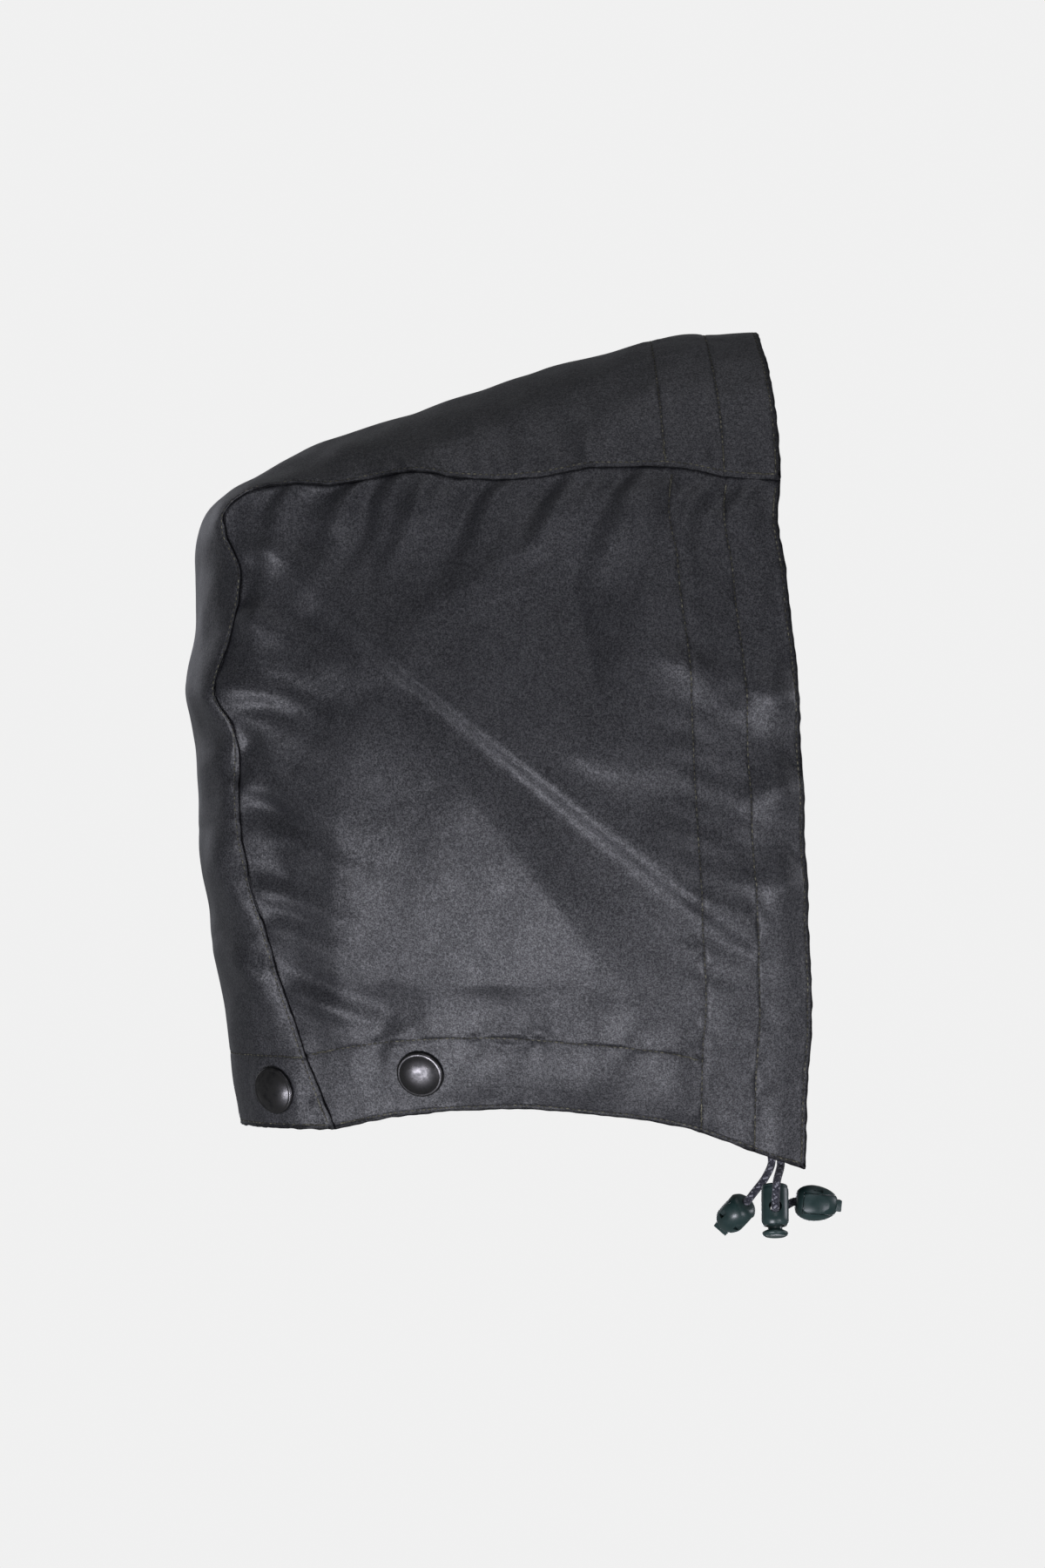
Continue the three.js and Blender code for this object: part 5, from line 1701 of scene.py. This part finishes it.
class Recipe:
    """Wires the nodes of one material."""

    def __init__(self, name: str) -> None:
        """Start a material with its surface shader.

        Args:
            name: the material's name.
        """
        self.material = bpy.data.materials.new(name)
        self.material.use_nodes = True
        self.tree = self.material.node_tree
        self.shader = self.tree.nodes["Principled BSDF"]

    def set(self, **values: object) -> None:
        """Set the shader's own sockets, with underscores for the spaces in their names."""
        for key, value in values.items():
            self.shader.inputs[key.replace("_", " ")].default_value = value

    def feed(self, socket: Socket, value: object) -> None:
        """Fill a node's input.

        Args:
            socket: the input.
            value: a value or another node's output.
        """
        if isinstance(value, Socket):
            self.tree.links.new(value, socket)
        else:
            socket.default_value = value

    def node(self, kind: str, settings: dict | None = None, **inputs: object) -> bpy.types.Node:
        """Add a node.

        Args:
            kind: the node's type.
            settings: its own settings by name.
            inputs: a value or another node's output for each input, by its name or by
                the letter i and its number.

        Returns:
            The node.
        """
        made = self.tree.nodes.new(kind)
        for key, value in (settings or {}).items():
            setattr(made, key, value)
        for key, value in inputs.items():
            numbered = key[0] == "i" and key[1:].isdigit()
            self.feed(made.inputs[int(key[1:]) if numbered else key.replace("_", " ")], value)
        return made

    def there(self) -> Socket:
        """The place on the piece."""
        return self.node("ShaderNodeTexCoord").outputs["Object"]

    def wear(self) -> Socket:
        """How pale or dark the piece has been marked there: pale for wear or a pale colour, dark for
        painted shade.
        """
        return self.node("ShaderNodeAttribute", {"attribute_name": "wear"}).outputs["Fac"]

    def stretched(self, vector: Socket, scale: Sequence[float]) -> Socket:
        """A place, with each of its numbers at a scale of its own."""
        return self.node("ShaderNodeMapping", None, Vector=vector, Scale=scale).outputs[0]

    def math(self, how: str, a: object, b: object = 0.0) -> Socket:
        """Work out one number from two."""
        return self.node("ShaderNodeMath", {"operation": how}, i0=a, i1=b).outputs[0]

    def times(self, a: object, b: object) -> Socket:
        """The product of two numbers."""
        return self.math("MULTIPLY", a, b)

    def blend(self, share: object, a: object, b: object) -> Socket:
        """Blend two colours."""
        return self.node("ShaderNodeMix", {"data_type": "RGBA"}, i0=share, i6=a, i7=b).outputs[2]

    def noise(self, vector: Socket, scale: float, detail: float, rough: float = 0.55) -> Socket:
        """Cloudy noise at a scale, about 0 to 1."""
        look = {"Vector": vector, "Scale": scale, "Detail": detail, "Roughness": rough}
        return self.node("ShaderNodeTexNoise", None, **look).outputs[0]

    def ramp(self, value: Socket, low: float, high: float, start: float = 0.0, end: float = 1.0) -> Socket:
        """Stretch a span of values to another span, and hold the ends.

        Args:
            value: the value.
            low: where its span starts.
            high: where its span ends.
            start: what the low end becomes.
            end: what the high end becomes.

        Returns:
            The stretched value.
        """
        settings = {"clamp": True, "interpolation_type": "SMOOTHSTEP"}
        made = self.node("ShaderNodeMapRange", settings, i0=value, i1=low, i2=high, i3=start, i4=end)
        return made.outputs[0]

    def plug(self, socket: str, value: Socket) -> None:
        """Feed one of the shader's sockets."""
        self.tree.links.new(value, self.shader.inputs[socket])

    def bumps(self, layers: Sequence[tuple[Socket, float, float]]) -> None:
        """Stack layers of bump on the surface.

        Args:
            layers: the height, the strength and the depth in metres of each layer.
        """
        before = None
        for height, strength, depth in layers:
            made = self.node("ShaderNodeBump", None, Height=height, Strength=strength, Distance=depth)
            if before is not None:
                self.tree.links.new(before, made.inputs["Normal"])
            before = made.outputs[0]
        self.tree.links.new(before, self.shader.inputs["Normal"])


def grey(value: float, warm: float = 0.0, cool: float = 0.0) -> Colour:
    """A grey with a share of warmth or coolness, as a linear colour."""
    return (value * (1 + warm), value, value * (1 + cool), 1.0)


@dataclass(frozen=True)
class WaxedCotton:
    """Close canvas with a dark wax dressing that pales where it has been folded."""

    base: Colour = (0.0120, 0.0122, 0.0158, 1.0)
    worn: Colour = (0.040, 0.040, 0.045, 1.0)
    thread_pitch: float = 0.00052
    roughness: float = 0.41

    def material(self) -> bpy.types.Material:
        """Make the material, whose weave follows the laid-out cloth.

        Returns:
            The material.
        """
        r = Recipe("waxed_cotton")
        cloth = r.node("ShaderNodeUVMap", {"uv_map": "cloth"}).outputs[0]
        split = r.node("ShaderNodeSeparateXYZ", None, i0=cloth)
        there = r.there()
        wear = r.wear()
        turn = 2 * math.pi / self.thread_pitch
        warp = r.math("SINE", r.times(split.outputs[0], turn))
        weft = r.math("SINE", r.times(split.outputs[1], turn * 0.9))
        weave = r.times(warp, weft)
        slubs = r.noise(r.stretched(cloth, (900, 160, 1)), 1.0, 2)
        patches = r.noise(there, 26.0, 4, 0.6)
        mottle = r.noise(there, 130.0, 4, 0.62)
        grain = r.noise(there, 1600.0, 3, 0.6)
        specks = r.noise(there, 740.0, 2, 0.6)
        tone = r.blend(r.ramp(patches, 0.32, 0.7, 0.0, 0.38), self.base, self.worn)
        tone = r.blend(r.ramp(mottle, 0.38, 0.72, 0.0, 0.3), tone, self.worn)
        tone = r.blend(r.ramp(specks, 0.52, 0.72, 0.0, 0.18), tone, self.worn)
        rubbed = r.times(r.math("MAXIMUM", wear, 0.0), r.ramp(mottle, 0.3, 0.65))
        tone = r.blend(r.times(rubbed, 0.75), tone, self.worn)
        tone = r.blend(r.ramp(grain, 0.36, 0.6, 0.6, 0.0), tone, grey(0.004))
        # Painted shade: below zero, the mark darkens the base colour to near black and dims the specular.
        shade = r.math("MAXIMUM", r.times(wear, -1.0), 0.0)
        r.plug("Base Color", r.blend(r.times(shade, 0.85), tone, grey(0.002)))
        rough = r.ramp(patches, 0.25, 0.75, self.roughness - 0.05, self.roughness + 0.08)
        r.plug("Roughness", r.math("ADD", rough, r.times(grain, 0.1)))
        shine = r.times(r.ramp(grain, 0.38, 0.62, 0.42, 1.08), r.ramp(specks, 0.35, 0.68, 0.64, 1.06))
        unshaded = r.math("SUBTRACT", 1.0, r.times(shade, 0.9))
        r.plug("Specular IOR Level", r.times(shine, unshaded))
        r.set(Sheen_Weight=0.05, Sheen_Roughness=0.45, Sheen_Tint=(0.7, 0.74, 0.8, 1))
        r.bumps([(mottle, 0.3, 0.0010), (specks, 0.25, 0.0002), (grain, 0.25, 0.00008),
                 (slubs, 0.25, 0.00008), (weave, 0.4, 0.00005)])
        return r.material


@dataclass(frozen=True)
class StitchThread:
    """Twisted polyester thread."""

    name: str = "stitch_thread"
    light: Colour = (0.22, 0.21, 0.15, 1.0)
    dark: Colour = (0.006, 0.006, 0.005, 1.0)

    def material(self) -> bpy.types.Material:
        """Make the material.

        Returns:
            The material.
        """
        r = Recipe(self.name)
        there = r.there()
        tone = r.noise(there, 240.0, 2)
        look = {"Vector": there, "Scale": 900.0, "Distortion": 1.5}
        twist = r.node("ShaderNodeTexWave", {"bands_direction": "DIAGONAL"}, **look)
        pale = r.wear()
        # The dark colour is painted shade at the stitch ends, and the tone of dim stitches.
        share = r.times(pale, r.ramp(tone, 0.3, 0.7, 0.4, 1.0))
        r.plug("Base Color", r.blend(share, self.dark, self.light))
        r.set(Roughness=0.65, Specular_IOR_Level=0.15, Sheen_Weight=0.05)
        r.bumps([(twist.outputs[1], 0.4, 0.00008)])
        return r.material


@dataclass(frozen=True)
class PlatedMetal:
    """Plated brass or steel, dulled by handling."""

    name: str
    colour: Colour
    dull: Colour
    roughness: float

    def material(self) -> bpy.types.Material:
        """Make the material.

        Returns:
            The material.
        """
        r = Recipe(self.name)
        there = r.there()
        cloud = r.noise(there, 320.0, 4, 0.6)
        grain = r.noise(there, 2600.0, 3, 0.6)
        r.plug("Base Color", r.blend(r.ramp(cloud, 0.35, 0.75), self.colour, self.dull))
        rough = r.ramp(cloud, 0.3, 0.7, self.roughness - 0.05, self.roughness + 0.12)
        r.plug("Roughness", rough)
        r.set(Metallic=1.0)
        r.bumps([(cloud, 0.12, 0.0003), (grain, 0.22, 0.00004)])
        return r.material


@dataclass(frozen=True)
class MouldedPlastic:
    """Dark green moulded plastic with a fine satin skin."""

    colour: Colour = (0.012, 0.030, 0.029, 1.0)
    pale: Colour = (0.032, 0.060, 0.058, 1.0)

    def material(self) -> bpy.types.Material:
        """Make the material.

        Returns:
            The material.
        """
        r = Recipe("moulded_plastic")
        there = r.there()
        cloud = r.noise(there, 180.0, 3)
        grain = r.noise(there, 3200.0, 2)
        scuff = r.noise(r.stretched(there, (300, 2400, 900)), 1.0, 3)
        tone = r.blend(r.ramp(cloud, 0.3, 0.75, 0.0, 0.5), self.colour, self.pale)
        r.plug("Base Color", r.blend(r.ramp(scuff, 0.62, 0.8, 0.0, 0.25), tone, self.pale))
        r.plug("Roughness", r.ramp(cloud, 0.3, 0.7, 0.30, 0.42))
        r.set(Specular_IOR_Level=0.5)
        r.bumps([(grain, 0.25, 0.00003), (scuff, 0.12, 0.00005)])
        return r.material


@dataclass(frozen=True)
class BraidedCotton:
    """The drawcord's braid, dark navy with a few grey strands."""

    navy: Colour = (0.012, 0.013, 0.026, 1.0)
    fleck: Colour = (0.27, 0.27, 0.31, 1.0)

    def material(self) -> bpy.types.Material:
        """Make the material.

        Returns:
            The material.
        """
        r = Recipe("braided_cord")
        there = r.there()
        share = r.wear()
        fibre = r.noise(there, 2200.0, 3)
        tone = r.blend(share, self.navy, self.fleck)
        r.plug("Base Color", r.blend(r.ramp(fibre, 0.3, 0.7, 0.5, 0.0), tone, grey(0.003)))
        r.set(Roughness=0.72, Specular_IOR_Level=0.3, Sheen_Weight=0.3, Sheen_Roughness=0.5)
        r.bumps([(fibre, 0.5, 0.00012)])
        return r.material


@dataclass
class Studio:
    """The pale studio: camera, lights, floor and the light all round."""

    distance: float = 3.0
    frame_height: float = 0.666
    camera_height: float = -0.17205
    backdrop: float = 0.875
    floor_level: float = -0.78
    floor_radius: float = 1.9

    def camera(self) -> None:
        """Set up the camera at the photo's angle."""
        data = bpy.data.cameras.new("camera")
        data.sensor_fit = "VERTICAL"
        data.sensor_height = 36.0
        data.lens = 36.0 * self.distance / self.frame_height
        data.clip_end = 50.0
        camera = bpy.data.objects.new("camera", data)
        camera.location = (0, -self.distance, self.camera_height)
        camera.rotation_euler = (math.pi / 2, 0, 0)
        bpy.context.scene.collection.objects.link(camera)
        bpy.context.scene.camera = camera

    def light(
        self,
        name: str,
        place: Sequence[float],
        aim: Sequence[float],
        size: tuple[float, float],
        power: float,
    ) -> None:
        """Add a soft rectangular light.

        Args:
            name: the light's name.
            place: where it stands.
            aim: what it points at.
            size: its width and height.
            power: its power in watts.
        """
        data = bpy.data.lights.new(name, "AREA")
        data.shape = "RECTANGLE"
        data.size, data.size_y = size
        data.energy = power
        data.color = (0.96, 0.96, 1.06)
        lamp = bpy.data.objects.new(name, data)
        lamp.location = place
        lamp.rotation_euler = (Vector(aim) - Vector(place)).to_track_quat("-Z", "Y").to_euler()
        bpy.context.scene.collection.objects.link(lamp)

    def surroundings(self) -> None:
        """Make the pale surroundings, brighter to the camera than to the hood."""
        world = bpy.data.worlds.new("studio")
        world.use_nodes = True
        bpy.context.scene.world = world
        tree = world.node_tree
        nodes, links = tree.nodes, tree.links
        seen = nodes["Background"]
        seen.inputs[0].default_value = (self.backdrop, self.backdrop, self.backdrop, 1)
        cast = nodes.new("ShaderNodeBackground")
        way = nodes.new("ShaderNodeTexCoord")
        split = nodes.new("ShaderNodeSeparateXYZ")
        fall = nodes.new("ShaderNodeMapRange")
        fall.inputs[1].default_value, fall.inputs[2].default_value = -0.6, 0.8
        fall.inputs[3].default_value, fall.inputs[4].default_value = 0.22, 0.16
        links.new(way.outputs["Generated"], split.inputs[0])
        links.new(split.outputs[2], fall.inputs[0])
        links.new(fall.outputs[0], cast.inputs[1])
        cast.inputs[0].default_value = (0.96, 0.98, 1.0, 1)
        ray = nodes.new("ShaderNodeLightPath")
        mix = nodes.new("ShaderNodeMixShader")
        links.new(ray.outputs["Is Camera Ray"], mix.inputs[0])
        links.new(cast.outputs[0], mix.inputs[1])
        links.new(seen.outputs[0], mix.inputs[2])
        links.new(mix.outputs[0], nodes["World Output"].inputs[0])

    def floor(self) -> None:
        """Lay the pale floor, far enough down to stay out of the photo's view."""
        Bench.clear()
        bpy.ops.mesh.primitive_circle_add(
            vertices=96, radius=self.floor_radius, fill_type="NGON", location=(0, 0, self.floor_level)
        )
        floor = bpy.context.object
        floor.name = "studio_floor"
        r = Recipe("studio_floor")
        r.set(Base_Color=(0.8, 0.8, 0.8, 1), Roughness=0.9)
        floor.data.materials.append(r.material)

    def build(self) -> None:
        """Set up the whole studio."""
        self.camera()
        self.surroundings()
        self.light("key_low_left", (-0.9, -2.0, -1.7), (0.0, 0.0, -0.2), (1.1, 0.6), 50.0)
        self.light("low_right", (1.3, -1.8, -1.0), (0.0, 0.0, -0.2), (0.6, 0.9), 13.0)
        self.light("high_front", (0.2, -2.2, 1.2), (0.0, 0.0, -0.1), (1.0, 0.6), 5.0)
        self.light("overhead", (0.2, -0.5, 2.2), (0.0, 0.0, 0.0), (1.3, 0.9), 7.0)
        self.light("behind", (-1.3, 1.9, 0.5), (0.0, 0.0, -0.15), (1.4, 1.4), 4.0)
        self.light("face_opening", (1.9, 0.55, 0.1), (-0.1, 0.0, -0.15), (0.7, 0.7), 9.0)
        self.light("left_side", (0.1, 2.1, -0.7), (0.0, 0.0, -0.2), (1.0, 0.7), 16.0)
        scene = bpy.context.scene
        scene.view_settings.view_transform = "Standard"
        scene.view_settings.look = "None"


@dataclass
class DetachableHood:
    """The whole hood, from its cloth to its fastenings."""

    form: HoodForm = field(default_factory=HoodForm)
    stud: PressStud = field(default_factory=PressStud)
    lock: BarrelLock = field(default_factory=BarrelLock)
    bell: CordBell = field(default_factory=CordBell)
    cord: Drawcord = field(default_factory=Drawcord)
    stitching: Stitching = field(default_factory=Stitching)
    stud_above_hem: float = 17.0
    stud_forward: float = 0.215
    stud_across: float = -0.68
    mouth_depth: float = 8.0
    mouth_behind: float = 10.0
    cord_tuck: float = 7.0
    cord_bend: float = 7.0

    def __post_init__(self) -> None:
        """Find the studs' seats and the tunnel's mouth, and make the finishes."""
        form = self.form
        station = float(form.back_edge.parameter(self.stud_above_hem / form.back_edge.total))
        forward = self.stud_forward
        up = self.stud_above_hem / float(np.linalg.norm(form.hem(forward) - form.top(forward)))
        side = self.folded_side(forward, up, 0.0)
        centre = form.centre_base(station, self.stud_across)
        centre_out = form.centre_normal(station, self.stud_across)
        centre = centre + centre_out * form.folds.lift(centre[None, 0], centre[None, 2])[0]
        self.right_side = StudSeat("right_side", side, form.side_normal(forward, up))
        self.right_back = StudSeat("right_back", centre, centre_out)
        wide = float(np.linalg.norm(form.back(0.0) - form.front(0.0)))
        forward = 1 - self.mouth_behind / wide
        depth = form.cloth + form.gap + form.cord / 2
        low = self.folded_side(forward, 0.0, depth)
        high = self.folded_side(forward, 1.5 * self.mouth_depth / form.height, depth)
        self.mouth = StudSeat("mouth", low, unit(low - high))
        self.relief = Relief(form)
        dark = PlatedMetal("dark_plating", grey(0.085, 0.03, 0.02), grey(0.035, 0.0, 0.03), 0.3)
        nickel = PlatedMetal("nickel_plating", grey(0.45, 0.04, -0.04), grey(0.25, 0.05, -0.05), 0.28)
        self.finish = {
            "cloth": WaxedCotton().material(),
            "thread": StitchThread().material(),
            "stud": dark.material(),
            "socket": nickel.material(),
            "lock": MouldedPlastic().material(),
            "cord": BraidedCotton().material(),
        }

    def folded_side(self, forward: float, up: float, depth: float) -> Array:
        """A point of the folded side panel.

        Args:
            forward: from 0 at the back seam to 1 at the front edge.
            up: from 0 at the hem to 1 at the top seam.
            depth: how far under the outer face.

        Returns:
            The point.
        """
        f, u = np.array(forward), np.array(up)
        base = self.form.side_base(f, u)
        lift = self.form.folds.lift(base[None, 0], base[None, 2])[0] - depth
        return base + self.form.side_normal(f, u) * lift

    def cloth(self) -> None:
        """Make the three panels and their stitches."""
        seats = [self.right_back, self.right_back.mirrored("left_back")]
        centre = CentrePanel(self.form, self.relief, seats)
        side = SidePanel(self.form, self.relief, centre, self.mouth, [self.right_side])
        built = {"centre_panel": centre.build()}
        for which in Side:
            built[f"side_panel_{which.name.lower()}"] = side.build(which)
        for number, (node, (piece, rows)) in enumerate(built.items()):
            dressed(piece, self.finish["cloth"], "hood", [node])
            uv = np.empty(2 * len(piece.data.loops), np.float32)
            piece.data.uv_layers[0].data.foreach_get("uv", uv)
            stitches = self.stitching.lay(f"stitches_{node}", rows, 60 + number)
            dressed(stitches, self.finish["thread"], "hood", [])

    def studs(self) -> None:
        """Make the four press studs."""
        for seat in (self.right_side, self.right_back):
            for place in (seat, seat.mirrored(seat.name.replace("right", "left"))):
                cap = self.stud.build_cap(place)
                dressed(cap, self.finish["stud"], "hood", [f"stud_cap_{place.name}"])
                socket = self.stud.build_socket(place)
                dressed(socket, self.finish["socket"], "hood", [f"stud_socket_{place.name}"])

    def drawcord(self) -> None:
        """Make both ends of the drawcord, with the lock and the bells."""
        lock, bell, b = self.lock, self.bell, self.cord_bend
        mouth, down = self.mouth.place, self.mouth.normal
        crossing = mouth + np.array([-2.3, 2.0, -21.6])
        top = crossing - lock.down * (lock.hole_down + lock.cord_drop)
        barrel, plunger = lock.build_barrel(top), lock.build_plunger(top)
        dressed(barrel, self.finish["lock"], "hood", ["lock_barrel"])
        dressed(plunger, self.finish["lock"], "plunger", ["lock_plunger"])

        def at(through: float, low: float, x: float) -> Array:
            """A place of the cord beside the barrel."""
            return crossing + lock.through * through + lock.down * low + np.array([x, 0.0, 0.0])

        out, c = lock.diameter / 2 + 0.6, b * (1 - math.sqrt(0.5))
        bell_mouth = crossing + lock.through * (lock.diameter / 2 + b + 1) + np.array([b + 2.1, 0.0, 6.4])
        axis = unit(np.array([1.0, 0.05, -0.1]))
        route = [
            mouth - down * self.cord_tuck, mouth, mouth + down * 3, at(-out - b + 0.2, -b - 2.5, 0.4),
            at(-out - b, -b, 0.2), at(-out - c, -c, 0), at(-out, 0, 0), at(0, 0, 0), at(out, 0, 0),
        ]
        for turn, low in ((22, -0.5), (45, -1.9), (68, -3.9), (90, -5.7)):
            angle = math.radians(turn)
            route.append(at(out + b * math.sin(angle), low, b * (1 - math.cos(angle))))
        route += [bell_mouth, bell_mouth + axis * bell.cord_depth]
        parts = bell.build(Side.RIGHT, bell_mouth, axis, np.array([0.0, -1.0, 0.0]))
        self.tied(Side.RIGHT, route, parts)
        mouth, down = mouth * MIRROR, down * MIRROR
        bell_mouth = mouth + np.array([-10.4, 0.0, -25.9])
        axis = unit(np.array([-0.56, 0.56, -0.63]))
        route = [
            mouth - down * self.cord_tuck, mouth, mouth + down * 3, mouth + np.array([0.7, -0.5, -8.5]),
            mouth + np.array([-2.1, -1.0, -15.0]), mouth + np.array([-6.6, -1.0, -21.0]),
            bell_mouth, bell_mouth + axis * bell.cord_depth,
        ]
        parts = bell.build(Side.LEFT, bell_mouth, axis, np.array([-0.7, 0.0, 0.62]))
        self.tied(Side.LEFT, route, parts)

    def tied(
        self, side: Side, route: Sequence[Array], bell: Sequence[Piece]
    ) -> None:
        """Args:
            side: which end it is.
            route: the points that it goes through.
            bell: its shell and insert.
        """
        name = side.name.lower()
        for piece, word in zip(bell, ("shell", "insert")):
            dressed(piece, self.finish["lock"], "hood", [f"bell_{name}_{word}"])
        piece, path, length = self.cord.build(f"drawcord_{name}_braid", route)
        dressed(piece, self.finish["cord"], "hood", [f"drawcord_{name}"])
        LOG.info("drawcord %s: %.1f mm", name, length / MM)

    def build(self) -> None:
        """Make the whole hood in order."""
        self.drawcord()
        self.studs()
        self.cloth()


def main() -> None:
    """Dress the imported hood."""
    logging.basicConfig(level=logging.INFO, format="%(message)s")
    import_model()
    Studio().build()
    DetachableHood().build()
    bpy.context.view_layer.update()


if __name__ == "__main__":
    main()
